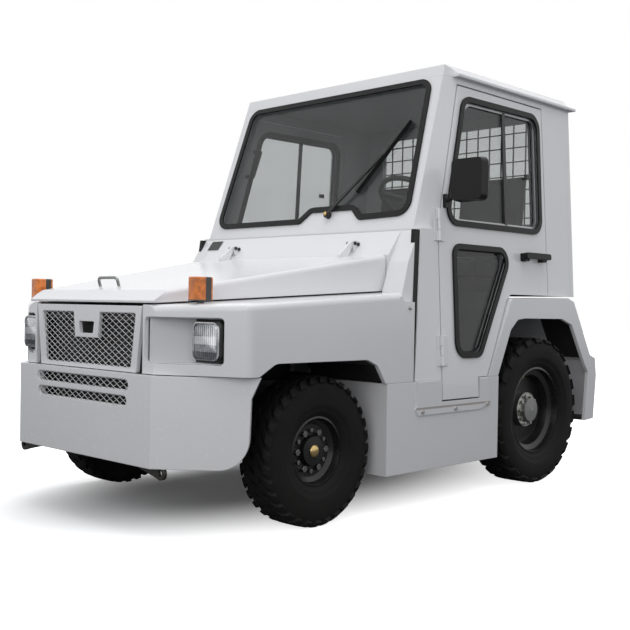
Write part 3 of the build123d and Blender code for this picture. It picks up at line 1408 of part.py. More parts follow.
# Tow hitch: a stepped three-tongue jaw on a back plate; its drop pin stands in the upper step's two tongues
HITCH_END_R = 58
HITCH_PIN_Y = LENGTH - HITCH_END_R
HITCH_PIN_R = 16
HITCH_PLATE_Y = BODY_END_Y + 22
TONGUE = 20
PIN_TIP = 6
TONGUES = (336, 396, 456)
HITCH_PLATE_X = 105
HITCH_BOTTOM_Z = TONGUES[0] - 16
HITCH_TOP_Z = TONGUES[-1] + 38
HITCH_PLATE_OUTLINE = (
    (tail_y(HITCH_BOTTOM_Z), HITCH_BOTTOM_Z),
    (HITCH_PLATE_Y, HITCH_BOTTOM_Z),
    (HITCH_PLATE_Y, HITCH_TOP_Z),
    (tail_y(HITCH_TOP_Z), HITCH_TOP_Z),
)
with BuildPart() as tow_hitch:
    add(side_region(HITCH_PLATE_OUTLINE, -HITCH_PLATE_X, 2 * HITCH_PLATE_X))
    for tongue_z in TONGUES:
        with BuildSketch(Plane.XY.offset(tongue_z)):
            with BuildLine():
                Polyline(
                    (-HITCH_END_R, HITCH_PIN_Y),
                    (-90, HITCH_PLATE_Y - 5),
                    (90, HITCH_PLATE_Y - 5),
                    (HITCH_END_R, HITCH_PIN_Y),
                )
                ThreePointArc((HITCH_END_R, HITCH_PIN_Y), (0, LENGTH), (-HITCH_END_R, HITCH_PIN_Y))
            make_face()
            with Locations((0, HITCH_PIN_Y)):
                Circle(HITCH_PIN_R + RUNNING, mode=Mode.SUBTRACT)
        extrude(amount=TONGUE)
write(tow_hitch, "tow_hitch")

# Drop pin: a plain pin with a collar and an upright pull ring
RING_R = 36
RING_SECTION = 9
with BuildPart() as hitch_pin:
    with BuildSketch(Plane.XY.offset(TONGUES[1] - PIN_TIP)):
        with Locations((0, HITCH_PIN_Y)):
            Circle(HITCH_PIN_R)
    extrude(amount=TONGUES[-1] + TONGUE - TONGUES[1] + PIN_TIP)
    with BuildSketch(Plane.XY.offset(TONGUES[-1] + TONGUE)):
        with Locations((0, HITCH_PIN_Y)):
            Circle(HITCH_PIN_R + 9)
    extrude(amount=12)
    with BuildSketch(side_plane(-5)):
        with Locations((HITCH_PIN_Y, TONGUES[-1] + TONGUE + 6 + RING_R)):
            Circle(RING_R)
            Circle(RING_R - RING_SECTION, mode=Mode.SUBTRACT)
    extrude(amount=10)
write(hitch_pin, "hitch_pin")

# Front axle: a box beam with kingpin eyes, on two leaf springs
KINGPIN_X = 543
KINGPIN_R = 10
EYE_R = 18
BEAM_Z = 262
BEAM_H = 66
SPRING_W = 50
SPRING_SEAT_Z = 352
SPINDLE_ROOT_X = 601
with BuildPart() as front_axle:
    with BuildSketch(Plane(origin=(-KINGPIN_X + 16, FRONT_AXLE_Y, 0), x_dir=(0, 1, 0), z_dir=(1, 0, 0))):
        with Locations((0, BEAM_Z + BEAM_H / 2)):
            RectangleRounded(58, BEAM_H, 8)
    extrude(amount=2 * (KINGPIN_X - 16))
    for side in (1, -1):
        with BuildSketch(Plane.XY.offset(BEAM_Z)):
            with Locations((side * KINGPIN_X, FRONT_AXLE_Y)):
                Circle(EYE_R)
            with Locations((side * (KINGPIN_X - 14), FRONT_AXLE_Y)):
                Rectangle(28, 34)
            with Locations((side * KINGPIN_X, FRONT_AXLE_Y)):
                Circle(KINGPIN_R + RUNNING, mode=Mode.SUBTRACT)
        extrude(amount=BEAM_H)
        with BuildSketch(side_plane(side * RAIL_X - SPRING_W / 2)) as spring:
            with BuildLine():
                top_front = (FRONT_AXLE_Y - SPRING_SPAN, SPRING_EYE_Z + SPRING_THICK / 2)
                top_middle = (FRONT_AXLE_Y, SPRING_SEAT_Z + SPRING_THICK)
                top_rear = (FRONT_AXLE_Y + SPRING_SPAN, SPRING_EYE_Z + SPRING_THICK / 2)
                ThreePointArc(top_front, top_middle, top_rear)
                Polyline(
                    top_rear,
                    (FRONT_AXLE_Y + SPRING_SPAN, SPRING_EYE_Z),
                    (FRONT_AXLE_Y + 60, SPRING_SEAT_Z),
                    (FRONT_AXLE_Y + 60, BEAM_Z + BEAM_H),
                    (FRONT_AXLE_Y - 60, BEAM_Z + BEAM_H),
                    (FRONT_AXLE_Y - 60, SPRING_SEAT_Z),
                    (FRONT_AXLE_Y - SPRING_SPAN, SPRING_EYE_Z),
                    top_front,
                )
            make_face()
        extrude(spring.sketch, amount=SPRING_W)
write(front_axle, "front_axle")

# Knuckles: a fork round the axle's eye, the kingpin, the wheel spindle and a straight steering arm
FORK_GAP = 3
FORK_THICK = 18
STEER_ARM = 130
ARM_Z = BEAM_Z - FORK_GAP - FORK_THICK
BALL_R = 11
ROD_EYE_R = 13
TIE_ROD_Z = ARM_Z - 34
with BuildPart() as knuckle:
    for arm_z in (ARM_Z, BEAM_Z + BEAM_H + FORK_GAP):
        with BuildSketch(Plane.XY.offset(arm_z)):
            with Locations((KINGPIN_X, FRONT_AXLE_Y)):
                Circle(EYE_R + 2)
            with Locations(((KINGPIN_X + SPINDLE_ROOT_X) / 2, FRONT_AXLE_Y)):
                Rectangle(SPINDLE_ROOT_X - KINGPIN_X, 44)
        extrude(amount=FORK_THICK)
    with BuildSketch(Plane.XY.offset(ARM_Z)):
        with Locations((SPINDLE_ROOT_X - 9, FRONT_AXLE_Y)):
            Rectangle(18, 44)
    extrude(amount=BEAM_H + 2 * FORK_GAP + 2 * FORK_THICK)
    with BuildSketch(Plane.XY.offset(ARM_Z)):
        with Locations((KINGPIN_X, FRONT_AXLE_Y)):
            Circle(KINGPIN_R)
    extrude(amount=BEAM_H + 2 * FORK_GAP + 2 * FORK_THICK)
    spindle_root = (SPINDLE_ROOT_X - 2, FRONT_AXLE_Y, FRONT_TYRE_R)
    with BuildSketch(Plane(origin=spindle_root, x_dir=(0, 1, 0), z_dir=(1, 0, 0))):
        Circle(SPINDLE_R)
    extrude(amount=FRONT_WHEEL_X + FRONT_DISC_X - SPINDLE_ROOT_X + 2)
    with BuildSketch(Plane.XY.offset(ARM_Z)):
        with Locations((KINGPIN_X, FRONT_AXLE_Y + STEER_ARM / 2)):
            Rectangle(18, STEER_ARM)
        with Locations((KINGPIN_X, FRONT_AXLE_Y + STEER_ARM)):
            Circle(BALL_R)
    extrude(amount=FORK_THICK)
    with BuildSketch(Plane.XY.offset(TIE_ROD_Z + 1)):
        with Locations((KINGPIN_X, FRONT_AXLE_Y + STEER_ARM)):
            Circle(7)
    extrude(amount=ARM_Z - TIE_ROD_Z)
write_sides(knuckle, "knuckle")

# Tie rod: a tube with an eye round each ball stud
EYE_THICK = 24
with BuildPart() as tie_rod:
    rod_start = (-KINGPIN_X + 10, FRONT_AXLE_Y + STEER_ARM, TIE_ROD_Z + EYE_THICK / 2)
    with BuildSketch(Plane(origin=rod_start, z_dir=(1, 0, 0))):
        Circle(11)
    extrude(amount=2 * (KINGPIN_X - 10))
    for side in (1, -1):
        with BuildSketch(Plane.XY.offset(TIE_ROD_Z)):
            with Locations((side * KINGPIN_X, FRONT_AXLE_Y + STEER_ARM)):
                Circle(ROD_EYE_R)
        extrude(amount=EYE_THICK)
        with BuildSketch(Plane.XY.offset(TIE_ROD_Z)):
            with Locations((side * KINGPIN_X, FRONT_AXLE_Y + STEER_ARM)):
                Circle(7 + RUNNING)
        extrude(amount=EYE_THICK, mode=Mode.SUBTRACT)
write(tie_rod, "tie_rod")

# Rear axle: tube housing with a round differential, brake drums and fixed spring pads
AXLE_TUBE_R = 55
DIFF_R = 138
DRUM_R = 120
REAR_HUB_BACK_X = REAR_WHEEL_X + REAR_DISC_X - 40
REAR_SPINDLE_R = SPINDLE_R + 8
with BuildPart() as rear_axle:
    with BuildSketch(Plane(origin=(0, REAR_AXLE_Y, REAR_TYRE_R), x_dir=(1, 0, 0), z_dir=(0, -1, 0))):
        with BuildLine():
            half_profile = Polyline(
                (0, 0),
                (0, DIFF_R),
                (70, DIFF_R - 16),
                (120, DIFF_R - 62),
                (190, AXLE_TUBE_R),
                (REAR_HUB_BACK_X - 56, AXLE_TUBE_R),
                (REAR_HUB_BACK_X - 56, DRUM_R),
                (REAR_HUB_BACK_X - 10, DRUM_R),
                (REAR_HUB_BACK_X - 6, AXLE_TUBE_R),
                (REAR_HUB_BACK_X - 6, REAR_SPINDLE_R),
                (REAR_WHEEL_X + REAR_DISC_X + 18, REAR_SPINDLE_R),
                (REAR_WHEEL_X + REAR_DISC_X + 18, 0),
                (0, 0),
            )
        make_face()
    revolve(axis=Axis((0, REAR_AXLE_Y, REAR_TYRE_R), (1, 0, 0)))
    mirror(about=Plane.YZ)
    with BuildSketch(front_plane(REAR_AXLE_Y - 60)):
        with Locations((RAIL_X, (REAR_TYRE_R + RAIL_Z) / 2), (-RAIL_X, (REAR_TYRE_R + RAIL_Z) / 2)):
            Rectangle(60, RAIL_Z - REAR_TYRE_R)
    extrude(amount=-120)
write(rear_axle, "rear_axle")

# Engine with its gearbox, mounts and propeller shaft: one plain mass
ENGINE_Y = (340, 960)
ENGINE_HALF = 215
SHAFT_Z = 358
with BuildPart() as engine:
    with BuildSketch(Plane.XY.offset(BEAM_Z + BEAM_H + 36)):
        with Locations((0, (ENGINE_Y[0] + ENGINE_Y[1]) / 2)):
            RectangleRounded(2 * ENGINE_HALF - 90, ENGINE_Y[1] - ENGINE_Y[0] - 40, 30)
    extrude(amount=120)
    with BuildSketch(Plane.XY.offset(BEAM_Z + BEAM_H + 156)):
        with Locations((0, (ENGINE_Y[0] + ENGINE_Y[1]) / 2)):
            RectangleRounded(2 * ENGINE_HALF, ENGINE_Y[1] - ENGINE_Y[0], 30)
    extrude(amount=270)
    with BuildSketch(side_plane(-RAIL_X - RAIL_W / 2 + RAIL_WEB)):
        with Locations(((ENGINE_Y[0] + ENGINE_Y[1]) / 2, RAIL_Z + 66)):
            Rectangle(70, 40)
    extrude(amount=2 * RAIL_X + RAIL_W - 2 * RAIL_WEB)
    with BuildSketch(front_plane(ENGINE_Y[1] - 40)):
        with Locations((0, SHAFT_Z)):
            Circle(88)
    extrude(amount=-430)
    with BuildSketch(front_plane(ENGINE_Y[1] + 380)):
        with Locations((0, SHAFT_Z)):
            Circle(30)
    extrude(amount=-(REAR_AXLE_Y - DIFF_R - ENGINE_Y[1] - 380 - SEAT_CLEAR))
write(engine, "engine")

# Cab floor: flat foot well, a sloping riser and the deck over the rear axle, with the seat's pedestal
FLOOR_PLATE = 12
FLOOR_Z = RAIL_Z + RAIL_H + SEAT_CLEAR
FLOOR_OUTLINE = (
    (1150, FLOOR_Z),
    (1682, FLOOR_Z),
    (1866, DECK_Z),
    (CAB_REAR_Y, DECK_Z),
    (CAB_REAR_Y, DECK_Z + FLOOR_PLATE),
    (1860, DECK_Z + FLOOR_PLATE),
    (1674, FLOOR_Z + FLOOR_PLATE),
    (1150, FLOOR_Z + FLOOR_PLATE),
)
SEAT_X = 290
PEDESTAL_X = 2 * 520
PEDESTAL_TOP_Z = 1010
SEAT_Y = CAB_REAR_Y - 355
with BuildPart() as cab_floor:
    add(side_region(FLOOR_OUTLINE))
    add(cab_block(WALL + RUNNING), mode=Mode.INTERSECT)
    with BuildSketch(Plane.XY.offset(DECK_Z + FLOOR_PLATE)):
        with Locations((0, SEAT_Y + 10)):
            RectangleRounded(PEDESTAL_X, 480, 20)
    extrude(amount=PEDESTAL_TOP_Z - DECK_Z - FLOOR_PLATE)
write(cab_floor, "cab_floor")

# Seats: a cushion and a backrest for the driver and one for a passenger
SEAT_WIDTH = 460
SEAT_DEPTH = 470
CUSHION = 110
BACK_HEIGHT = 470
BACK_FOOT_Z = PEDESTAL_TOP_Z + CUSHION - 20
with BuildPart() as seat:
    for seat_x in (-SEAT_X, SEAT_X):
        with BuildSketch(Plane.XY.offset(PEDESTAL_TOP_Z + RUNNING)):
            with Locations((seat_x, SEAT_Y)):
                RectangleRounded(SEAT_WIDTH, SEAT_DEPTH, 50)
        extrude(amount=CUSHION)
        with BuildSketch(side_plane(seat_x - SEAT_WIDTH / 2 + 10)) as backrest:
            with BuildLine():
                Polyline(
                    (CAB_REAR_Y - 185, BACK_FOOT_Z),
                    (CAB_REAR_Y - 100, BACK_FOOT_Z),
                    (CAB_REAR_Y - 55, PEDESTAL_TOP_Z + CUSHION + BACK_HEIGHT),
                    (CAB_REAR_Y - 115, PEDESTAL_TOP_Z + CUSHION + BACK_HEIGHT),
                    (CAB_REAR_Y - 185, BACK_FOOT_Z),
                )
            make_face()
        extrude(backrest.sketch, amount=SEAT_WIDTH - 20)
write(seat, "seat")

# Dashboard: a shelf under the windscreen with its instrument binnacle, column tube, levers and pedals
DASH_TOP_Z = 1236
DASH_BOTTOM_Z = 1010
WHEEL_X = 400
WHEEL_Y = 1545
WHEEL_Z = 1372
WHEEL_TILT = 36
RIM_R = 168
BOSS_DEPTH = 55
COLUMN_AXIS = (0, sin(radians(WHEEL_TILT)), cos(radians(WHEEL_TILT)))
PEDALS_X = (300, 400, 500)
PEDAL_Y = 1330
PEDAL_Z = 700


def column_plane(distance):
    """Square to the steering column, a distance below the wheel's centre."""
    return Plane(
        origin=(WHEEL_X, WHEEL_Y - distance * COLUMN_AXIS[1], WHEEL_Z - distance * COLUMN_AXIS[2]),
        x_dir=(1, 0, 0),
        z_dir=COLUMN_AXIS,
    )


with BuildPart() as dashboard:
    dash_outline = (
        (1195, DASH_BOTTOM_Z),
        (1380, DASH_BOTTOM_Z + 30),
        (1400, DASH_TOP_Z - 60),
        (1385, DASH_TOP_Z - 14),
        (1340, DASH_TOP_Z),
        (1195, DASH_TOP_Z),
    )
    add(side_region(dash_outline))
    add(cab_block(WALL + SEAT_CLEAR), mode=Mode.INTERSECT)
    door_room = ((DOOR_FRONT_Y - 40, 900), (1500, 900), (1500, 1400), (DOOR_FRONT_Y - 40, 1400))
    for room_x in (640, -740):
        add(side_region(door_room, room_x, 100), mode=Mode.SUBTRACT)
    with BuildSketch(column_plane(BOSS_DEPTH + RUNNING)) as column:
        Circle(30)
    extrude(column.sketch, amount=-330)
    for pedal_x in PEDALS_X:
        pedal = (pedal_x, PEDAL_Y, PEDAL_Z)
        with BuildSketch(Plane(origin=pedal, x_dir=(1, 0, 0), z_dir=(0, 1, 0.7))) as pad:
            RectangleRounded(60, 84, 10)
        extrude(pad.sketch, amount=12)
        with BuildSketch(Plane(origin=pedal, x_dir=(1, 0, 0), z_dir=(0, -0.28, 1))) as stalk:
            Rectangle(14, 12)
        extrude(stalk.sketch, amount=330)
write(dashboard, "dashboard")

# Steering wheel: round rim, three flat spokes and a hub over the column
with BuildPart() as steering_wheel:
    with BuildSketch(Plane(origin=column_plane(0).origin, x_dir=(1, 0, 0), z_dir=column_plane(0).y_dir)) as rim:
        with Locations((RIM_R - 13, 0)):
            Circle(13)
    revolve(rim.sketch, axis=Axis(column_plane(0).origin, COLUMN_AXIS))
    with BuildSketch(column_plane(18)) as spokes:
        with PolarLocations(RIM_R / 2 - 6, 3, start_angle=90):
            Rectangle(RIM_R - 22, 34)
    extrude(spokes.sketch, amount=14)
    with BuildSketch(column_plane(BOSS_DEPTH)) as boss:
        Circle(36)
    extrude(boss.sketch, amount=BOSS_DEPTH)
write(steering_wheel, "steering_wheel")

# Mirror: a clamp on the door's front strip, a bent arm and a rounded head
MIRROR_Y = 1383
MIRROR_Z = 1333
MIRROR_HEAD_Z = 1418
MIRROR_HEIGHT = 188
with BuildPart() as mirror_arm:
    with BuildSketch(SIDE_FACE.offset(RUNNING)):
        with Locations((MIRROR_Y, MIRROR_Z * SIDE_SLOPE)):
            RectangleRounded(18, 62, 6)
    extrude(amount=14)
    arm_root = (side_x(MIRROR_Z) + 8, MIRROR_Y, MIRROR_Z)
    with BuildSketch(Plane(origin=arm_root, x_dir=(0, 1, 0), z_dir=(1, 0, 0.3))):
        Circle(9)
    extrude(amount=100)
    with BuildSketch(front_plane(MIRROR_Y + 16)):
        with Locations(((MIRROR_REACH + MIRROR_INNER_X) / 2, MIRROR_HEAD_Z)):
            RectangleRounded(MIRROR_REACH - MIRROR_INNER_X, MIRROR_HEIGHT, 26)
    extrude(amount=44, taper=6)
write(mirror_arm, "mirror")

# Wiper: spindle below the glass, arm and blade in the plane of the windscreen
SPINDLE_Z = 1285
BLADE_START_Z = 1391
BLADE_END_Z = 1702
WIPER_PIVOT = (157, (SPINDLE_Z - FOLD_Z) * SCREEN_SLOPE)
BLADE_START = (306, (BLADE_START_Z - FOLD_Z) * SCREEN_SLOPE)
BLADE_END = (530, (BLADE_END_Z - FOLD_Z) * SCREEN_SLOPE)


def bar(start, end, width):
    """A straight bar with round ends, drawn in the windscreen's plane."""
    length = hypot(end[0] - start[0], end[1] - start[1])
    middle = ((start[0] + end[0]) / 2, (start[1] + end[1]) / 2)
    angle = degrees(atan2(end[1] - start[1], end[0] - start[0]))
    with BuildSketch() as face:
        with Locations(Location((middle[0], middle[1], 0), (0, 0, angle))):
            SlotOverall(length + width, width)
    return face.sketch


blade_middle = ((BLADE_START[0] + BLADE_END[0]) / 2, (BLADE_START[1] + BLADE_END[1]) / 2)
with BuildPart() as wiper:
    with BuildSketch(SCREEN_PLANE.offset(RUNNING)) as spindle:
        with Locations(WIPER_PIVOT):
            Circle(16)
    extrude(spindle.sketch, amount=22)
    with BuildSketch(SCREEN_PLANE.offset(16)) as arm:
        add(bar(WIPER_PIVOT, blade_middle, 14))
    extrude(arm.sketch, amount=7)
    with BuildSketch(SCREEN_PLANE.offset(-5.7)) as blade:
        add(bar(BLADE_START, BLADE_END, 12))
    extrude(blade.sketch, amount=24)
write(wiper, "wiper")
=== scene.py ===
import bpy
import math
from mathutils import Matrix, Vector


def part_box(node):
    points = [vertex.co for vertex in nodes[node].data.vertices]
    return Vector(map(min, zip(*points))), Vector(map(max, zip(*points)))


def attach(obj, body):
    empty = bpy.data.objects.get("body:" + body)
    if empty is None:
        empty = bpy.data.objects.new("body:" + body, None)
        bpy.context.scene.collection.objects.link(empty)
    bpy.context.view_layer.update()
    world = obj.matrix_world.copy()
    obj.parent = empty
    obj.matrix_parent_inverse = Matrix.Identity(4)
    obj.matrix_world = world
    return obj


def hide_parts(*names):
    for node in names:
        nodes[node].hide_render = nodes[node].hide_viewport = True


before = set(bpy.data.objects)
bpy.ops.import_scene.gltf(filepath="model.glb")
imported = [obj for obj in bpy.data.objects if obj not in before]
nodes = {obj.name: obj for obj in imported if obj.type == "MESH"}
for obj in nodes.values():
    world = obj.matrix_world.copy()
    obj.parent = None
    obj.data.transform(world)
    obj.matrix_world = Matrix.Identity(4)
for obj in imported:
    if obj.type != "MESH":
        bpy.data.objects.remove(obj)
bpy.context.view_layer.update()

# Studio
# A pale seamless floor under an evenly lit sky, with one wide soft lamp overhead and a weaker one in front. The
# floor glows away from the vehicle, so that only its shadow stays dark. The camera stands low at the left front
# corner, 4.8 m away, where the picture was taken.
studio = bpy.context.scene
studio.view_settings.view_transform = "Standard"


def deselect():
    """Leaves nothing selected, so that the next operator works on its own piece alone."""
    if bpy.context.object and bpy.context.object.mode != "OBJECT":
        bpy.ops.object.mode_set(mode="OBJECT")
    bpy.ops.object.select_all(action="DESELECT")


FLOOR_SIZE = 60
SHADOW_CENTRE = (-0.25, -0.3)
SHADOW_REACH = (0.55, 1.3)
deselect()
bpy.ops.mesh.primitive_plane_add(size=FLOOR_SIZE, location=(0, 0, 0))
floor = bpy.context.object
floor.name = "studio_floor"
floor_finish = bpy.data.materials.new("studio_floor")
floor_finish.use_nodes = True
tree = floor_finish.node_tree
tree.nodes.remove(tree.nodes["Principled BSDF"])
seen_floor = tree.nodes.new("ShaderNodeBsdfDiffuse")
seen_floor.inputs["Color"].default_value = (0.93, 0.93, 0.94, 1)
bounce_floor = tree.nodes.new("ShaderNodeBsdfDiffuse")
bounce_floor.inputs["Color"].default_value = (0.2, 0.2, 0.21, 1)
glow = tree.nodes.new("ShaderNodeEmission")
where = tree.nodes.new("ShaderNodeTexCoord")
stretch = tree.nodes.new("ShaderNodeMapping")
stretch.inputs["Location"].default_value = (
    -SHADOW_CENTRE[0] / SHADOW_REACH[0], -SHADOW_CENTRE[1] / SHADOW_REACH[1], 0
)
stretch.inputs["Scale"].default_value = (1 / SHADOW_REACH[0], 1 / SHADOW_REACH[1], 1)
reach = tree.nodes.new("ShaderNodeVectorMath")
reach.operation = "LENGTH"
fade = tree.nodes.new("ShaderNodeMapRange")
fade.interpolation_type = "SMOOTHSTEP"
fade.inputs["From Min"].default_value = 0.5
fade.inputs["From Max"].default_value = 1.8
fade.inputs["To Min"].default_value = 0.04
fade.inputs["To Max"].default_value = 0.9
path = tree.nodes.new("ShaderNodeLightPath")
lit = tree.nodes.new("ShaderNodeAddShader")
both = tree.nodes.new("ShaderNodeMixShader")
tree.links.new(where.outputs["Object"], stretch.inputs["Vector"])
tree.links.new(stretch.outputs["Vector"], reach.inputs[0])
tree.links.new(reach.outputs["Value"], fade.inputs["Value"])
tree.links.new(fade.outputs["Result"], glow.inputs["Strength"])
tree.links.new(seen_floor.outputs[0], lit.inputs[0])
tree.links.new(glow.outputs[0], lit.inputs[1])
tree.links.new(path.outputs["Is Camera Ray"], both.inputs[0])
tree.links.new(bounce_floor.outputs[0], both.inputs[1])
tree.links.new(lit.outputs[0], both.inputs[2])
tree.links.new(both.outputs[0], tree.nodes["Material Output"].inputs["Surface"])
floor.data.materials.append(floor_finish)

sky = bpy.data.worlds.new("studio_sky")
studio.world = sky
sky.use_nodes = True
tree = sky.node_tree
for node in list(tree.nodes):
    tree.nodes.remove(node)
HORIZON_LEVEL = 0.5
ZENITH_LEVEL = 0.6
day = tree.nodes.new("ShaderNodeBackground")
day.inputs["Color"].default_value = (0.96, 0.98, 1, 1)
facing = tree.nodes.new("ShaderNodeTexCoord")
height = tree.nodes.new("ShaderNodeSeparateXYZ")
level = tree.nodes.new("ShaderNodeMapRange")
level.inputs["To Min"].default_value = HORIZON_LEVEL
level.inputs["To Max"].default_value = ZENITH_LEVEL
tree.links.new(facing.outputs["Generated"], height.inputs[0])
tree.links.new(height.outputs["Z"], level.inputs["Value"])
tree.links.new(level.outputs["Result"], day.inputs["Strength"])
white = tree.nodes.new("ShaderNodeBackground")
white.inputs["Color"].default_value = (1, 1, 1, 1)
white.inputs["Strength"].default_value = 1
path = tree.nodes.new("ShaderNodeLightPath")
seen = tree.nodes.new("ShaderNodeMath")
seen.operation = "MAXIMUM"
seen_through = tree.nodes.new("ShaderNodeMath")
seen_through.operation = "MAXIMUM"
choice = tree.nodes.new("ShaderNodeMixShader")
world_out = tree.nodes.new("ShaderNodeOutputWorld")
tree.links.new(path.outputs["Is Camera Ray"], seen.inputs[0])
tree.links.new(path.outputs["Is Transmission Ray"], seen.inputs[1])
tree.links.new(seen.outputs[0], seen_through.inputs[0])
tree.links.new(path.outputs["Is Glossy Ray"], seen_through.inputs[1])
tree.links.new(seen_through.outputs[0], choice.inputs[0])
tree.links.new(day.outputs[0], choice.inputs[1])
tree.links.new(white.outputs[0], choice.inputs[2])
tree.links.new(choice.outputs[0], world_out.inputs["Surface"])


def soft_lamp(name, place, target, size, power):
    """A square area lamp that faces a point."""
    lamp = bpy.data.lights.new(name, "AREA")
    lamp.size = size
    lamp.energy = power
    holder = bpy.data.objects.new(name, lamp)
    studio.collection.objects.link(holder)
    holder.location = place
    holder.rotation_euler = (Vector(target) - Vector(place)).to_track_quat("-Z", "Y").to_euler()


soft_lamp("overhead_lamp", (0.3, 0.2, 7), (0, 0, 0), size=7, power=215)
soft_lamp("front_lamp", (3.2, -6.5, 3.2), (0, 0, 0.9), size=4, power=90)

PICTURE = 630
AZIMUTH = math.radians(44.10)
PITCH = math.radians(0.84)
ROLL = math.radians(0.97)
FOCAL_PX = 969.64
CENTRE_PX = (313.42, 319.65)
CAMERA_PLACE = (3.2042, -3.5201, 0.8629)
SENSOR = 36
ahead = Vector((
    -math.sin(AZIMUTH) * math.cos(PITCH), math.cos(AZIMUTH) * math.cos(PITCH), -math.sin(PITCH),
))
across = Vector((math.cos(AZIMUTH), math.sin(AZIMUTH), 0))
above = across.cross(ahead)
rolled_across = math.cos(ROLL) * across + math.sin(ROLL) * above
rolled_above = -math.sin(ROLL) * across + math.cos(ROLL) * above
camera_data = bpy.data.cameras.new("picture_camera")
camera_data.sensor_width = SENSOR
camera_data.lens = FOCAL_PX / PICTURE * SENSOR
camera_data.shift_x = (PICTURE / 2 - CENTRE_PX[0]) / PICTURE
camera_data.shift_y = (CENTRE_PX[1] - PICTURE / 2) / PICTURE
camera = bpy.data.objects.new("picture_camera", camera_data)
studio.collection.objects.link(camera)
turn = Matrix((rolled_across, rolled_above, -ahead)).transposed().to_4x4()
camera.matrix_world = Matrix.Translation(CAMERA_PLACE) @ turn
studio.camera = camera

# Body panels
# Folded and spot-welded steel sheet, sprayed with the glossy off-white enamel that the bumper plate, the bonnet
# and the cab share. The sheet is a little uneven, and road dust sits on its lower parts.


def finish(name, colour, rough, metal=0.0, tint=0.05, grain=90.0, bump=0.06, edge=0.0, patch=3.0, gleam=0.5):
    """A procedural surface: a coarse noise varies the colour, a fine one the gloss and the relief."""
    made = bpy.data.materials.new(name)
    made.use_nodes = True
    tree = made.node_tree
    shader = tree.nodes["Principled BSDF"]
    shader.inputs["Metallic"].default_value = metal
    shader.inputs["Specular IOR Level"].default_value = gleam
    place = tree.nodes.new("ShaderNodeTexCoord")
    coarse = tree.nodes.new("ShaderNodeTexNoise")
    coarse.inputs["Scale"].default_value = patch
    coarse.inputs["Detail"].default_value = 5
    fine = tree.nodes.new("ShaderNodeTexNoise")
    fine.inputs["Scale"].default_value = grain
    fine.inputs["Detail"].default_value = 3
    tree.links.new(place.outputs["Object"], coarse.inputs["Vector"])
    tree.links.new(place.outputs["Object"], fine.inputs["Vector"])
    shades = tree.nodes.new("ShaderNodeValToRGB")
    shades.name = "shades"
    shades.color_ramp.elements[0].position = 0.3
    shades.color_ramp.elements[1].position = 0.7
    shades.color_ramp.elements[0].color = tuple(c * (1 - tint) for c in colour) + (1,)
    shades.color_ramp.elements[1].color = tuple(min(1, c * (1 + tint * 0.5)) for c in colour) + (1,)
    tree.links.new(coarse.outputs["Fac"], shades.inputs["Fac"])
    tree.links.new(shades.outputs["Color"], shader.inputs["Base Color"])
    gloss = tree.nodes.new("ShaderNodeMapRange")
    gloss.inputs["To Min"].default_value = rough * 0.8
    gloss.inputs["To Max"].default_value = min(1, rough * 1.25)
    tree.links.new(fine.outputs["Fac"], gloss.inputs["Value"])
    tree.links.new(gloss.outputs["Result"], shader.inputs["Roughness"])
    relief = tree.nodes.new("ShaderNodeBump")
    relief.inputs["Strength"].default_value = bump
    relief.inputs["Distance"].default_value = 0.002
    tree.links.new(fine.outputs["Fac"], relief.inputs["Height"])
    if edge:
        rounding = tree.nodes.new("ShaderNodeBevel")
        rounding.samples = 4
        rounding.inputs["Radius"].default_value = edge
        tree.links.new(rounding.outputs["Normal"], relief.inputs["Normal"])
    tree.links.new(relief.outputs["Normal"], shader.inputs["Normal"])
    return made


def dress(node, material):
    """Gives a CAD node its finish."""
    target = nodes[node]
    if not target.material_slots:
        target.data.materials.append(material)
    for place in target.material_slots:
        place.material = material


def by_height(made, low, high, colour, most, axis="Z"):
    """Lays a second colour over a finish, from most at the low mark to none at the high one."""
    tree = made.node_tree
    shader = tree.nodes["Principled BSDF"]
    place = tree.nodes.new("ShaderNodeTexCoord")
    split = tree.nodes.new("ShaderNodeSeparateXYZ")
    tree.links.new(place.outputs["Object"], split.inputs[0])
    share = tree.nodes.new("ShaderNodeMapRange")
    share.inputs["From Min"].default_value = low
    share.inputs["From Max"].default_value = high
    share.inputs["To Min"].default_value = most
    share.inputs["To Max"].default_value = 0
    tree.links.new(split.outputs[axis], share.inputs["Value"])
    over = tree.nodes.new("ShaderNodeMix")
    over.data_type = "RGBA"
    under = shader.inputs["Base Color"].links[0].from_socket
    tree.links.new(share.outputs["Result"], over.inputs["Factor"])
    tree.links.new(under, over.inputs["A"])
    over.inputs["B"].default_value = colour + (1,)
    tree.links.new(over.outputs["Result"], shader.inputs["Base Color"])


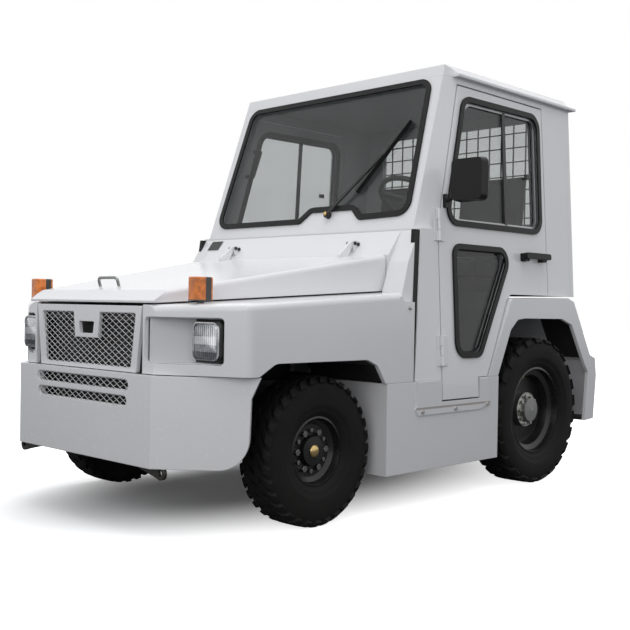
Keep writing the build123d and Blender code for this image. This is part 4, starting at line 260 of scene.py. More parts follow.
def zone(made, tests, colour, metal=None, rough=None, ring=None, centre=0.0):
    """Lays a colour over a finish inside a zone of Object coordinates.

    Each test is (axis or three weights, sign, value); X is taken from the centre plane, both sides alike.
    ring adds a distance range round an axle: (y, z, inner radius, outer radius).
    """
    tree = made.node_tree
    shader = tree.nodes["Principled BSDF"]
    place = tree.nodes.new("ShaderNodeTexCoord")
    split = tree.nodes.new("ShaderNodeSeparateXYZ")
    tree.links.new(place.outputs["Object"], split.inputs[0])

    def compute(kind, first, second):
        step = tree.nodes.new("ShaderNodeMath")
        step.operation = kind
        for socket, value in zip(step.inputs, (first, second)):
            if isinstance(value, (int, float)):
                socket.default_value = value
            elif value is not None:
                tree.links.new(value, socket)
        return step.outputs[0]

    outboard = compute("ABSOLUTE", compute("ADD", split.outputs["X"], -centre), None)
    values = {"X": outboard, "Y": split.outputs["Y"], "Z": split.outputs["Z"]}
    share = 1.0
    for axis, sign, value in tests:
        kind = "GREATER_THAN" if sign == ">" else "LESS_THAN"
        if axis in values:
            measure = values[axis]
        else:
            measure = 0.0
            for letter, weight in zip("XYZ", axis):
                if weight:
                    measure = compute("ADD", compute("MULTIPLY", values[letter], weight), measure)
        share = compute("MULTIPLY", compute(kind, measure, value), share)
    if ring:
        across = compute("SUBTRACT", split.outputs["Y"], ring[0])
        upward = compute("SUBTRACT", split.outputs["Z"], ring[1])
        squares = compute("ADD", compute("MULTIPLY", across, across), compute("MULTIPLY", upward, upward))
        radius = compute("SQRT", squares, None)
        share = compute("MULTIPLY", compute("GREATER_THAN", radius, ring[2]), share)
        share = compute("MULTIPLY", compute("LESS_THAN", radius, ring[3]), share)
    over = tree.nodes.new("ShaderNodeMix")
    over.data_type = "RGBA"
    tree.links.new(share, over.inputs["Factor"])
    tree.links.new(shader.inputs["Base Color"].links[0].from_socket, over.inputs["A"])
    over.inputs["B"].default_value = colour + (1,)
    tree.links.new(over.outputs["Result"], shader.inputs["Base Color"])
    for name, value in (("Metallic", metal), ("Roughness", rough)):
        if value is None:
            continue
        blend = tree.nodes.new("ShaderNodeMix")
        tree.links.new(share, blend.inputs["Factor"])
        socket = shader.inputs[name]
        if socket.links:
            tree.links.new(socket.links[0].from_socket, blend.inputs["A"])
        else:
            blend.inputs["A"].default_value = socket.default_value
        blend.inputs["B"].default_value = value
        tree.links.new(blend.outputs["Result"], socket)


CENTRE_X = -0.0875
STATION_0 = -1.43
ENAMEL = (0.86, 0.86, 0.88)
ENAMEL_COAT = 0.35
DUST = (0.5, 0.47, 0.42)
DUST_FOOT, DUST_HEAD, DUST_MOST = 0.16, 0.75, 0.16


def sprayed(name, rough=0.22, edge=0.004, gleam=0.5):
    """The white enamel as a finish of its own, for pieces that carry a zone of something else."""
    return finish(name, ENAMEL, rough, tint=0.03, grain=60, bump=0.02, edge=edge, patch=1.6, gleam=gleam)


enamel = sprayed("white_enamel")
enamel.node_tree.nodes["Principled BSDF"].inputs["Coat Weight"].default_value = ENAMEL_COAT
enamel.node_tree.nodes["Principled BSDF"].inputs["Coat Roughness"].default_value = 0.08
by_height(enamel, DUST_FOOT, DUST_HEAD, DUST, DUST_MOST)
for panel in ("grille_panel", "wings", "cowl", "side_boxes", "rear_body"):
    dress(panel, enamel)

# Rear fenders
# Box-shaped arches folded from the same sheet. Inside, over the wheel, they are painted near-black as painted
# shade.
FENDER_SKIN_X = 0.7425
FENDER_TOP_Z = 0.893
FENDER_TAIL = STATION_0 + 2.66
FRONT_SLOPE = 0.5114
REAR_SLOPE = 0.6487
fender_front = STATION_0 + 1.704 - FRONT_SLOPE * 0.548
fender_rear = STATION_0 + 2.445 + REAR_SLOPE * 0.903
fender_enamel_painted_shade = sprayed("fender_enamel_painted_shade")
by_height(fender_enamel_painted_shade, DUST_FOOT, DUST_HEAD, DUST, DUST_MOST)
# Painted shade: the inner faces of the arch over the wheel get a near-black for the shade that falls there.
zone(
    fender_enamel_painted_shade,
    (("X", "<", FENDER_SKIN_X), ("Z", "<", FENDER_TOP_Z), ((0, 1, -FRONT_SLOPE), ">", fender_front),
     ((0, 1, REAR_SLOPE), "<", fender_rear), ("Y", "<", FENDER_TAIL)),
    (0.02, 0.02, 0.02), rough=0.7, centre=CENTRE_X,
)
dress("rear_fenders", fender_enamel_painted_shade)

# Cab shell and doors
# The cab is welded from pressed sheet on a frame and the doors hang on it by two hinges each. Outside it has
# the body's enamel; inside, a light grey one. The sill flange is held by plated hexagon bolts.
SIDE_LEAN = 0.0558
SCREEN_LEAN = 0.3245
SILL_HEIGHT = 0.548
SCREEN_FOOT = (1.212, 1.204)
INNER_GREY = (0.6, 0.61, 0.62)
LEAN = (1, 0, SIDE_LEAN)
RAKE = (0, 1, -SCREEN_LEAN)
FACET = (1, -0.3144, 0.1389)
inner_side = 0.745 + SIDE_LEAN * SILL_HEIGHT
inner_front = STATION_0 + 1.23 - SCREEN_LEAN * SCREEN_FOOT[1]
inner_facet = 0.660 + FACET[1] * (STATION_0 + SCREEN_FOOT[0]) + FACET[2] * SCREEN_FOOT[1]
inner_rear = STATION_0 + 2.478
cab_enamel = sprayed("cab_enamel")
cab_enamel.node_tree.nodes["Principled BSDF"].inputs["Coat Weight"].default_value = ENAMEL_COAT
by_height(cab_enamel, 0.4, 0.9, DUST, 0.1)
zone(
    cab_enamel,
    ((LEAN, "<", inner_side), (RAKE, ">", inner_front), (FACET, "<", inner_facet), ("Y", "<", inner_rear),
     ("Z", "<", 1.94), ("Z", ">", 0.6)),
    INNER_GREY, rough=0.5, centre=CENTRE_X,
)
zone(
    cab_enamel, ((LEAN, ">", 0.7655 + SIDE_LEAN * 0.418), ("Z", "<", 0.436)), (0.5, 0.47, 0.45), metal=1.0,
    rough=0.4, centre=CENTRE_X,
)
for panel in ("cab_front", "cab_sides", "cab_rear", "roof", "door_left", "door_right"):
    dress(panel, cab_enamel)

# Bumper
# One bent plate in the body's enamel. The towing lugs that hang below its edge are left in worn black.
BUMPER_EDGE = 0.2645
bumper_enamel = sprayed("bumper_enamel", rough=0.25, edge=0.005)
by_height(bumper_enamel, 0.26, 0.7, DUST, 0.14)
by_height(bumper_enamel, BUMPER_EDGE, BUMPER_EDGE + 0.0002, (0.035, 0.035, 0.028), 1.0)
dress("front_bumper", bumper_enamel)

# Bonnet
# The same enamel, but its lifting handle over the lip is a bent rod of bare zinc-plated steel.
HANDLE_REAR_Y = -1.27
HANDLE_FOOT_Z = 0.925
bonnet_enamel = sprayed("bonnet_enamel", gleam=0.2)
zone(
    bonnet_enamel, (("Y", "<", HANDLE_REAR_Y), ("Z", ">", HANDLE_FOOT_Z), ("X", "<", 0.08)),
    (0.3, 0.31, 0.29), metal=1.0, rough=0.35, centre=CENTRE_X,
)
dress("bonnet", bonnet_enamel)

# Chassis, axles and engine
# Rolled channels, forgings and castings under thick satin black paint, dusty and oily underneath.
underbody = finish("underbody_black", (0.022, 0.022, 0.023), 0.55, tint=0.5, grain=150, bump=0.3, patch=9)
for part in (
    "chassis_frame", "arch_liners", "front_axle", "knuckle_left", "knuckle_right", "tie_rod", "rear_axle",
    "engine", "tow_hitch",
):
    dress(part, underbody)
bare_steel = finish(
    "plated_steel", (0.45, 0.45, 0.44), 0.35, metal=1, tint=0.2, grain=300, bump=0.1, patch=20
)
dress("hitch_pin", bare_steel)

# Tyres
# Industrial pneumatic tyres of black rubber with raised lugs, pressed over the rims. The front ones have slanted
# shoulder lugs beside a zigzag middle, the rear ones larger blocks. Each carcass is lofted ring by ring.
rubber_tread = finish(
    "tyre_rubber", (0.0075, 0.0073, 0.007), 0.7, tint=0.35, grain=220, bump=0.35, patch=14, gleam=0.2
)
by_height(rubber_tread, 0.0, 0.4, (0.02, 0.019, 0.017), 0.3)


def pick(piece, rule, part="FACE"):
    """Selects in edit mode the faces, edges or vertices whose middle passes a rule."""
    bpy.ops.object.mode_set(mode="OBJECT")
    mesh = piece.data
    for group in (mesh.vertices, mesh.edges, mesh.polygons):
        group.foreach_set("select", [False] * len(group))
    if part == "FACE":
        for face in mesh.polygons:
            face.select = rule(face.center)
    elif part == "VERT":
        for corner in mesh.vertices:
            corner.select = rule(corner.co)
    else:
        for line in mesh.edges:
            start, end = (mesh.vertices[index].co for index in line.vertices)
            line.select = rule((start + end) / 2)
    bpy.ops.object.mode_set(mode="EDIT")
    bpy.ops.mesh.select_mode(type=part)


def settle(piece, name, material, body, smooth=30, replaced=()):
    """Ends a piece: place into its mesh, doubles merged, faces outwards, then its finish and body."""
    if bpy.context.object and bpy.context.object.mode != "OBJECT":
        bpy.ops.object.mode_set(mode="OBJECT")
    deselect()
    piece.select_set(True)
    bpy.context.view_layer.objects.active = piece
    bpy.ops.object.transform_apply(location=True, rotation=True, scale=True)
    bpy.ops.object.mode_set(mode="EDIT")
    bpy.ops.mesh.select_all(action="SELECT")
    bpy.ops.mesh.remove_doubles(threshold=0.00002)
    bpy.ops.mesh.normals_make_consistent(inside=False)
    bpy.ops.object.mode_set(mode="OBJECT")
    bpy.ops.object.shade_smooth_by_angle(angle=math.radians(smooth))
    piece.name = name
    piece.data.name = name
    piece.data.materials.clear()
    piece.data.materials.append(material)
    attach(piece, body)
    if replaced:
        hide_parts(*replaced)


def copy_of(piece, place):
    """A second piece with its own mesh, moved by a matrix."""
    other = piece.copy()
    other.data = piece.data.copy()
    other.data.transform(place)
    studio.collection.objects.link(other)
    return other


def carcass(centre, section, steps):
    """A ring of rubber lofted round the axle: section is a closed list of (distance outboard, radius)."""
    deselect()
    first_x, first_r = section[0]
    bpy.ops.mesh.primitive_circle_add(
        vertices=steps, radius=first_r, location=(centre.x + first_x, centre.y, centre.z),
        rotation=(0, math.pi / 2, 0),
    )
    ring = bpy.context.object
    bpy.ops.object.transform_apply(location=True, rotation=True, scale=True)
    bpy.ops.object.mode_set(mode="EDIT")
    bpy.ops.mesh.select_mode(type="EDGE")
    bpy.ops.mesh.select_all(action="SELECT")
    x, radius = first_x, first_r
    for next_x, next_r in section[1:] + section[:1]:
        bpy.ops.mesh.extrude_edges_move(TRANSFORM_OT_translate={"value": (next_x - x, 0, 0)})
        bpy.ops.transform.resize(
            value=(1, next_r / radius, next_r / radius),
            center_override=(centre.x + next_x, centre.y, centre.z),
        )
        x, radius = next_x, next_r
    bpy.ops.mesh.select_all(action="SELECT")
    bpy.ops.mesh.remove_doubles(threshold=0.00002)
    bpy.ops.mesh.normals_make_consistent(inside=False)
    return ring


def raise_lugs(ring, centre, steps, belongs, height, taper):
    """Insets and lifts the lugs' faces: belongs gets the distance outboard, the step and the radius."""
    def on_lug(middle):
        angle = math.atan2(middle.z - centre.z, middle.y - centre.y) % (2 * math.pi)
        radius = math.hypot(middle.y - centre.y, middle.z - centre.z)
        return belongs(middle.x - centre.x, int(angle / (2 * math.pi) * steps), radius)
    pick(ring, on_lug)
    bpy.ops.mesh.inset(thickness=taper, depth=height)


def twist(ring, centre, slant):
    """Turns each ring of vertices round the axle by an angle that depends on its distance outboard."""
    bpy.ops.object.mode_set(mode="OBJECT")
    for corner in ring.data.vertices:
        angle = slant(corner.co.x - centre.x)
        y, z = corner.co.y - centre.y, corner.co.z - centre.z
        corner.co.y = centre.y + y * math.cos(angle) - z * math.sin(angle)
        corner.co.z = centre.z + y * math.sin(angle) + z * math.cos(angle)


def middle_of(node):
    low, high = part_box(node)
    return (Vector(low) + Vector(high)) / 2


FRONT_R, FRONT_HALF, FRONT_RIM, FRONT_LUG = 0.295, 0.080, 0.150, 0.011
FRONT_STEPS = 160
LUG_TAPER = 0.0022
front_half_section = [
    (0.72, FRONT_RIM - 0.012), (0.86, FRONT_RIM + 0.003), (0.885, FRONT_RIM + 0.006),
    (0.895, FRONT_RIM + 0.013), (0.95, FRONT_RIM + 0.026), (0.975, FRONT_RIM + 0.03),
    (0.985, FRONT_RIM + 0.04), (0.995, 0.215), (0.985, 0.234), (0.955, 0.252),
    (0.93, 0.266), (0.88, 0.2745), (0.76, FRONT_R - FRONT_LUG - 0.002),
    (0.44, FRONT_R - FRONT_LUG - 0.0006), (0.14, FRONT_R - FRONT_LUG - 0.0004),
]
front_section = [(x * FRONT_HALF, r) for x, r in front_half_section]
front_section += [(-x * FRONT_HALF, r) for x, r in reversed(front_half_section)]
REAR_R, REAR_HALF, REAR_RIM, REAR_LUG = 0.360, 0.095, 0.228, 0.011
REAR_STEPS = 150
rear_half_section = [
    (0.72, REAR_RIM - 0.012), (0.86, REAR_RIM + 0.003), (0.885, REAR_RIM + 0.006), (0.9, REAR_RIM + 0.014),
    (0.95, REAR_RIM + 0.026), (0.975, REAR_RIM + 0.03), (0.99, REAR_RIM + 0.042), (0.995, 0.295),
    (0.985, 0.312), (0.955, 0.325), (0.93, 0.333), (0.88, 0.340), (0.77, REAR_R - REAR_LUG - 0.002),
    (0.5, REAR_R - REAR_LUG - 0.0006), (0.2, REAR_R - REAR_LUG - 0.0004),
]
rear_section = [(x * REAR_HALF, r) for x, r in rear_half_section]
rear_section += [(-x * REAR_HALF, r) for x, r in reversed(rear_half_section)]


def front_lug(outboard, step, radius):
    share = abs(outboard) / FRONT_HALF
    phase = (step + (2 if outboard > 0 else 0)) % 5
    if radius < 0.262:
        return False
    if share > 0.45:
        return phase < 3
    if share > 0.15:
        return (phase + 2) % 5 < 4
    return step % 5 < 3


def rear_lug(outboard, step, radius):
    share = abs(outboard) / REAR_HALF
    phase = (step + (3 if outboard > 0 else 0)) % 6
    if radius < 0.332:
        return False
    if share > 0.5:
        return phase < 4
    if share > 0.22:
        return (phase + 3) % 6 < 5
    return step % 6 < 4


for size, section, steps, lug_rule, height, lean_in in (
    ("front", front_section, FRONT_STEPS, front_lug, FRONT_LUG, 0.32),
    ("rear", rear_section, REAR_STEPS, rear_lug, REAR_LUG, 0.22),
):
    left, right = f"tyre_{size}_left", f"tyre_{size}_right"
    centre = middle_of(left)
    other_centre = middle_of(right)
    tyre = carcass(centre, section, steps)
    raise_lugs(tyre, centre, steps, lug_rule, height, LUG_TAPER)
    half = abs(section[0][0]) / 0.72

    def slant(outboard):
        share = outboard / half
        return lean_in * share ** 2 * 0.6 + 0.03 * math.sin(share * 9)

    twist(tyre, centre, slant)
    settle(tyre, f"{left}_lugged", rubber_tread, f"wheel_{size}_left", 28, (left,))
    half_turn = Matrix.Rotation(math.pi, 4, "Z")
    other = copy_of(tyre, Matrix.Translation(other_centre) @ half_turn @ Matrix.Translation(-centre))
    settle(other, f"{right}_lugged", rubber_tread, f"wheel_{size}_right", 28, (right,))

# Wheels
# Pressed steel discs in gloss black. The front ones are held by six large plated nuts with six small ones
# between them and have a brass hub cap; the rear ones show a machined hub flange, ten nuts and a grey grease cap.
FRONT_HUB = (STATION_0 + 0.627, 0.295)
REAR_HUB = (STATION_0 + 2.149, 0.360)
WHEEL_BLACK = (0.009, 0.009, 0.009)
front_black = finish("front_wheel_black", WHEEL_BLACK, 0.28, tint=0.4, grain=120, bump=0.05, edge=0.002)
zone(
    front_black, (("X", ">", 0.6517),), (0.3, 0.3, 0.29), metal=1.0, rough=0.22, centre=CENTRE_X,
    ring=FRONT_HUB + (0.0635, 0.097),
)
rear_black = finish("rear_wheel_black", WHEEL_BLACK, 0.28, tint=0.4, grain=120, bump=0.05, edge=0.002)
zone(
    rear_black, (("X", ">", 0.6545),), (0.5, 0.5, 0.48), metal=1.0, rough=0.35, centre=CENTRE_X,
    ring=REAR_HUB + (0.0, 0.0865),
)
zone(
    rear_black, (("X", ">", 0.6835),), (0.3, 0.3, 0.29), metal=0.4, centre=CENTRE_X,
    ring=REAR_HUB + (0.0, 0.059),
)
for side in ("left", "right"):
    dress(f"wheel_front_{side}", front_black)
    dress(f"wheel_rear_{side}", rear_black)

brass = finish("brass", (0.62, 0.45, 0.2), 0.28, metal=1, tint=0.25, grain=90, bump=0.05, patch=30)
CAP_RADIUS = 0.025
CAP_RISE = 0.011
CAP_X = 0.6758
for side, sign in (("left", 1), ("right", -1)):
    deselect()
    bpy.ops.mesh.primitive_uv_sphere_add(
        segments=32, ring_count=16, radius=1, location=(CENTRE_X + sign * CAP_X, *FRONT_HUB),
        rotation=(0, sign * math.pi / 2, 0),
    )
    cap = bpy.context.object
    cap.scale = (CAP_RADIUS, CAP_RADIUS, CAP_RISE)
    settle(cap, f"hub_cap_front_{side}", brass, f"wheel_front_{side}", 40)

VALVE_RADIUS = 0.205
VALVE_X = 0.7085
valve_y = REAR_HUB[0] - VALVE_RADIUS * 0.5
valve_z = REAR_HUB[1] + VALVE_RADIUS * 0.82
for side, sign in (("left", 1), ("right", -1)):
    deselect()
    bpy.ops.mesh.primitive_cylinder_add(
        vertices=16, radius=0.0045, depth=0.034, location=(CENTRE_X + sign * VALVE_X, valve_y, valve_z),
        rotation=(0, math.pi / 2, 0),
    )
    settle(bpy.context.object, f"valve_rear_{side}", brass, f"wheel_rear_{side}", 40)

# Front mesh
# A diamond lattice, wider than high, of flattened wire in the body's enamel, welded into the grille panel's
# opening and the bumper's two slots. Behind it stands the radiator's black core.
PITCH_WIRE = 0.0165
DIAMOND_STRETCH = 1.85
WIRE_THICK = 0.0034
MESH_Y = STATION_0 + 0.030
SLOT_MESH_Y = STATION_0 + 0.008


def lattice(name, y, centre_z, reach, cuts, hole=None):
    """A flat sheet of squares on their points, trimmed by cuts (point, outward normal), made into wires."""
    deselect()
    steps = int(2 * reach / PITCH_WIRE)
    bpy.ops.mesh.primitive_grid_add(
        x_subdivisions=steps, y_subdivisions=steps, size=steps * PITCH_WIRE, location=(CENTRE_X, y, centre_z),
        rotation=(math.pi / 2, math.pi / 4, 0),
    )
    sheet = bpy.context.object
    bpy.ops.object.transform_apply(location=True, rotation=True, scale=True)
    bpy.ops.object.mode_set(mode="EDIT")
    bpy.ops.mesh.select_all(action="SELECT")
    bpy.ops.transform.resize(value=(DIAMOND_STRETCH, 1, 1), center_override=(CENTRE_X, y, centre_z))
    for (x, z), normal in cuts:
        bpy.ops.mesh.select_all(action="SELECT")
        bpy.ops.mesh.bisect(
            plane_co=(CENTRE_X + x, y, z), plane_no=(normal[0], 0, normal[1]), clear_outer=True, use_fill=False
        )
    if hole:
        pick(sheet, hole)
        bpy.ops.mesh.delete(type="FACE")
    bpy.ops.object.mode_set(mode="OBJECT")
    wires = sheet.modifiers.new("wires", "WIREFRAME")
    wires.thickness = WIRE_THICK
    wires.use_even_offset = False
    wires.use_boundary = True
    bpy.ops.object.modifier_apply(modifier="wires")
    settle(sheet, name, mesh_paint, "vehicle", 20, ("grille_mesh",))


mesh_paint = finish("mesh_enamel", (0.85, 0.85, 0.86), 0.35, tint=0.1, grain=120, bump=0.1, patch=12)
panel_cuts = [
    ((0, 0.6195), (0, -1)), ((0, 0.8225), (0, 1)), ((0.2975, 0.618), (0.206, -0.029)),
    ((-0.2975, 0.618), (-0.206, -0.029)),
]
lattice(
    "grille_lattice", MESH_Y, 0.721, 0.38, panel_cuts,
    lambda middle: abs(middle.x - CENTRE_X) < 0.083 and middle.z > 0.727,
)
for name, slot_z, half_width, half_length in (
    ("upper_slot_lattice", 0.557, 0.0195, 0.3195), ("lower_slot_lattice", 0.4975, 0.018, 0.3095),
):
    cuts = [((0, slot_z + half_width), (0, 1)), ((0, slot_z - half_width), (0, -1))]
    for sign in (1, -1):
        for degrees in (-60, -30, 0, 30, 60):
            slant = (math.cos(math.radians(degrees)), math.sin(math.radians(degrees)))
            round_x = half_length - half_width + half_width * slant[0]
            cuts.append(((sign * round_x, slot_z + half_width * slant[1]), (sign * slant[0], slant[1])))
    lattice(name, SLOT_MESH_Y, slot_z, 0.34, cuts)

deselect()
core_black = finish("core_black", (0.012, 0.012, 0.012), 0.7, tint=0.4, grain=200, bump=0.3, patch=9)
bpy.ops.mesh.primitive_cube_add(size=1, location=(CENTRE_X, STATION_0 + 0.078, 0.643))
core = bpy.context.object
core.scale = (0.756, 0.012, 0.376)
settle(core, "radiator_core", core_black, "vehicle")

# Headlamps
# A rounded square sealed lamp in a black bezel, with a chromed rim and a fluted glass over a reflector; a
# near-white band across the glass is a painted highlight and its lower part painted shade.
# It sits at the outer end of a painted recess that sweeps back across the corner.
# Painted shade: the recess's white sheet is given a grey (0.7) for the shade in the recess; the bucket round the
# lamp is its own black.
recess_paint_painted_shade = finish("recess_paint_painted_shade", (0.7, 0.7, 0.72), 0.35, tint=0.05, grain=60, bump=0.02, patch=1.6)
zone(
    recess_paint_painted_shade,
    (("X", ">", 0.514), ("Y", ">", STATION_0 + 0.118), ("Z", ">", 0.6485), ("Z", "<", 0.8066)),
    (0.015, 0.015, 0.015), rough=0.4, centre=CENTRE_X,
)
dress("headlamps", recess_paint_painted_shade)
LAMP = (0.598, 0.142, 0.7275)


def rounded_plate(centre, half_x, half_z, radius, thick, bevel):
    """An upright plate with rounded corners that faces the front, its back at the centre's y."""
    deselect()
    bpy.ops.mesh.primitive_plane_add(size=2, location=centre, rotation=(math.pi / 2, 0, 0))
    plate = bpy.context.object
    plate.scale = (half_x, half_z, 1)
    bpy.ops.object.transform_apply(location=True, rotation=True, scale=True)
    bpy.ops.object.mode_set(mode="EDIT")
    bpy.ops.mesh.select_all(action="SELECT")
    bpy.ops.mesh.bevel(offset=radius, segments=7, affect="VERTICES")
    bpy.ops.mesh.select_all(action="SELECT")
    bpy.ops.mesh.extrude_region_move(TRANSFORM_OT_translate={"value": (0, -thick, 0)})
    if bevel:
        bpy.ops.mesh.inset(thickness=bevel, depth=0)
        bpy.ops.transform.translate(value=(0, -bevel * 0.7, 0))
    bpy.ops.object.mode_set(mode="OBJECT")
    return plate


def frame_of(plate, width):
    """Cuts a plate down to a rim: the front face is inset and the middle pushed through to the back."""
    low = min(corner.co.y for corner in plate.data.vertices)
    pick(plate, lambda middle: middle.y < low + 0.00001)
    bpy.ops.mesh.inset(thickness=width, depth=0)
    bpy.ops.mesh.delete(type="FACE")
    high = max(corner.co.y for corner in plate.data.vertices)
    pick(plate, lambda middle: middle.y > high - 0.00001)
    bpy.ops.mesh.inset(thickness=width, depth=0)
    bpy.ops.mesh.delete(type="FACE")
    pick(plate, lambda middle: True, "EDGE")
    bpy.ops.mesh.select_all(action="DESELECT")
    bpy.ops.mesh.select_non_manifold()
    bpy.ops.mesh.bridge_edge_loops()
    bpy.ops.object.mode_set(mode="OBJECT")


chrome = finish("chrome", (0.75, 0.76, 0.78), 0.12, metal=1, tint=0.05, grain=60, bump=0.02, patch=20)
lens_painted_light = finish(
    "lamp_lens_painted_light", (0.55, 0.57, 0.6), 0.22, metal=0.75, tint=0.3, grain=60, bump=0.1, patch=26
)
tree = lens_painted_light.node_tree
flutes = tree.nodes.new("ShaderNodeTexWave")
flutes.bands_direction = "X"
flutes.inputs["Scale"].default_value = 28
place = tree.nodes.new("ShaderNodeTexCoord")
tree.links.new(place.outputs["Object"], flutes.inputs["Vector"])
ribs = tree.nodes.new("ShaderNodeBump")
ribs.inputs["Strength"].default_value = 0.5
ribs.inputs["Distance"].default_value = 0.004
tree.links.new(flutes.outputs["Fac"], ribs.inputs["Height"])
tree.links.new(ribs.outputs["Normal"], tree.nodes["Principled BSDF"].inputs["Normal"])
tree.nodes["Principled BSDF"].inputs["Coat Weight"].default_value = 1
# Painted highlight: a near-white band across the middle of the lamp glass.
zone(lens_painted_light, (("Z", ">", 0.716), ("Z", "<", 0.745)), (0.95, 0.96, 0.98), metal=0.3)
# Painted shade: the glass below it is darker.
zone(lens_painted_light, (("Z", "<", 0.69),), (0.16, 0.17, 0.19))
for side, sign in (("left", 1), ("right", -1)):
    spot = (CENTRE_X + sign * LAMP[0], STATION_0 + LAMP[1] - 0.0003, LAMP[2])
    lens = rounded_plate(spot, 0.0635, 0.0635, 0.02, 0.004, 0.006)
    settle(lens, f"headlamp_lens_{side}", lens_painted_light, "vehicle", 40)
    rim = rounded_plate(spot, 0.069, 0.069, 0.024, 0.009, 0)
    frame_of(rim, 0.0045)
    settle(rim, f"headlamp_rim_{side}", chrome, "vehicle", 40)
# Indicators
# Amber plastic lamps with a pebbled lens and a black clamping band, on short black stems.
amber = finish("indicator_amber", (0.85, 0.21, 0.01), 0.2, tint=0.4, grain=160, bump=0.5, patch=45)
amber.node_tree.nodes["Principled BSDF"].inputs["Coat Weight"].default_value = 0.6
INDICATOR_BLACK = (0.02, 0.02, 0.02)
zone(amber, (("Z", "<", 0.8765),), INDICATOR_BLACK, rough=0.5)
zone(amber, (("Y", ">", STATION_0 + 0.153), ("Y", "<", STATION_0 + 0.179)), INDICATOR_BLACK, rough=0.5)
dress("indicators", amber)

# Small fittings on the panels
# A blank black plate with a silver border riveted to the cowl, pairs of hinge bolts on the bonnet's straps, and
# one dome-headed screw on each wing below the step.
blank_black = finish("plate_black", (0.02, 0.02, 0.022), 0.4, tint=0.2, grain=120, bump=0.03, patch=12)
deselect()
COWL_FOOT = (STATION_0 + 1.118, 1.086)
COWL_HEAD = (STATION_0 + 1.2032, 1.196)
cowl_tilt = math.atan2(COWL_HEAD[0] - COWL_FOOT[0], COWL_HEAD[1] - COWL_FOOT[1])
PLATE_SHARE = 0.69
plate_y = COWL_FOOT[0] + (COWL_HEAD[0] - COWL_FOOT[0]) * PLATE_SHARE
plate_z = COWL_FOOT[1] + (COWL_HEAD[1] - COWL_FOOT[1]) * PLATE_SHARE
for name, half_x, half_z, lift, material in (
    ("cowl_plate_border", 0.046, 0.034, 0.0008, chrome), ("cowl_plate", 0.042, 0.030, 0.0016, blank_black),
):
    plate = rounded_plate((0, 0, 0), half_x, half_z, 0.004, 0.001, 0)
    deselect()
    plate.select_set(True)
    bpy.context.view_layer.objects.active = plate
    plate.matrix_world = (
        Matrix.Translation((CENTRE_X - 0.591, plate_y, plate_z)) @ Matrix.Rotation(-cowl_tilt, 4, "X")
        @ Matrix.Translation((0, -lift, 0))
    )
    settle(plate, name, material, "vehicle", 40)


def round_bolt(name, place, direction, radius, height, material, body, sides=20):
    """A fastener's head: a short cylinder whose outer edge is bevelled, along a direction."""
    deselect()
    bpy.ops.mesh.primitive_cylinder_add(vertices=sides, radius=radius, depth=height)
    head = bpy.context.object
    pick(head, lambda middle: middle.z > height * 0.49)
    bpy.ops.mesh.inset(thickness=radius * 0.3, depth=0)
    bpy.ops.transform.translate(value=(0, 0, height * 0.25))
    bpy.ops.object.mode_set(mode="OBJECT")
    turn_to = Vector(direction).to_track_quat("Z", "Y").to_matrix().to_4x4()
    head.matrix_world = Matrix.Translation(place) @ turn_to @ Matrix.Translation((0, 0, height / 2))
    settle(head, name, material, body, 35)


for side, sign in (("left", 1), ("right", -1)):
    round_bolt(
        f"wing_screw_{side}", (CENTRE_X + sign * 0.760, STATION_0 + 1.100, 0.859), (sign, 0, 0), 0.008, 0.006,
        bare_steel, "vehicle",
    )
    for number, station in enumerate((1.129, 1.151)):
        for face, turned in (("outer", 1), ("inner", -1)):
            round_bolt(
                f"hinge_bolt_{side}_{face}_{number}",
                (CENTRE_X + sign * 0.400 + turned * 0.0192, STATION_0 + station, 1.142 - number * 0.004),
                (turned, 0, 0), 0.0085, 0.005, blank_black, "vehicle",
            )

# Rubbers
# Black extruded rubber: the profiles that hold the windscreen and the door panes, and the strips that close the
# joint in front of the cab. The door handles are black plastic.
seal_rubber = finish(
    "seal_rubber", (0.008, 0.008, 0.0085), 0.4, tint=0.3, grain=160, bump=0.1, edge=0.002, patch=10, gleam=0.25
)
for part in ("windscreen_seal", "body_seal", "door_fittings_left", "door_fittings_right"):
    dress(part, seal_rubber)

# Glass
# Flat toughened panes, grey tinted, under a thin uneven veil of dust.


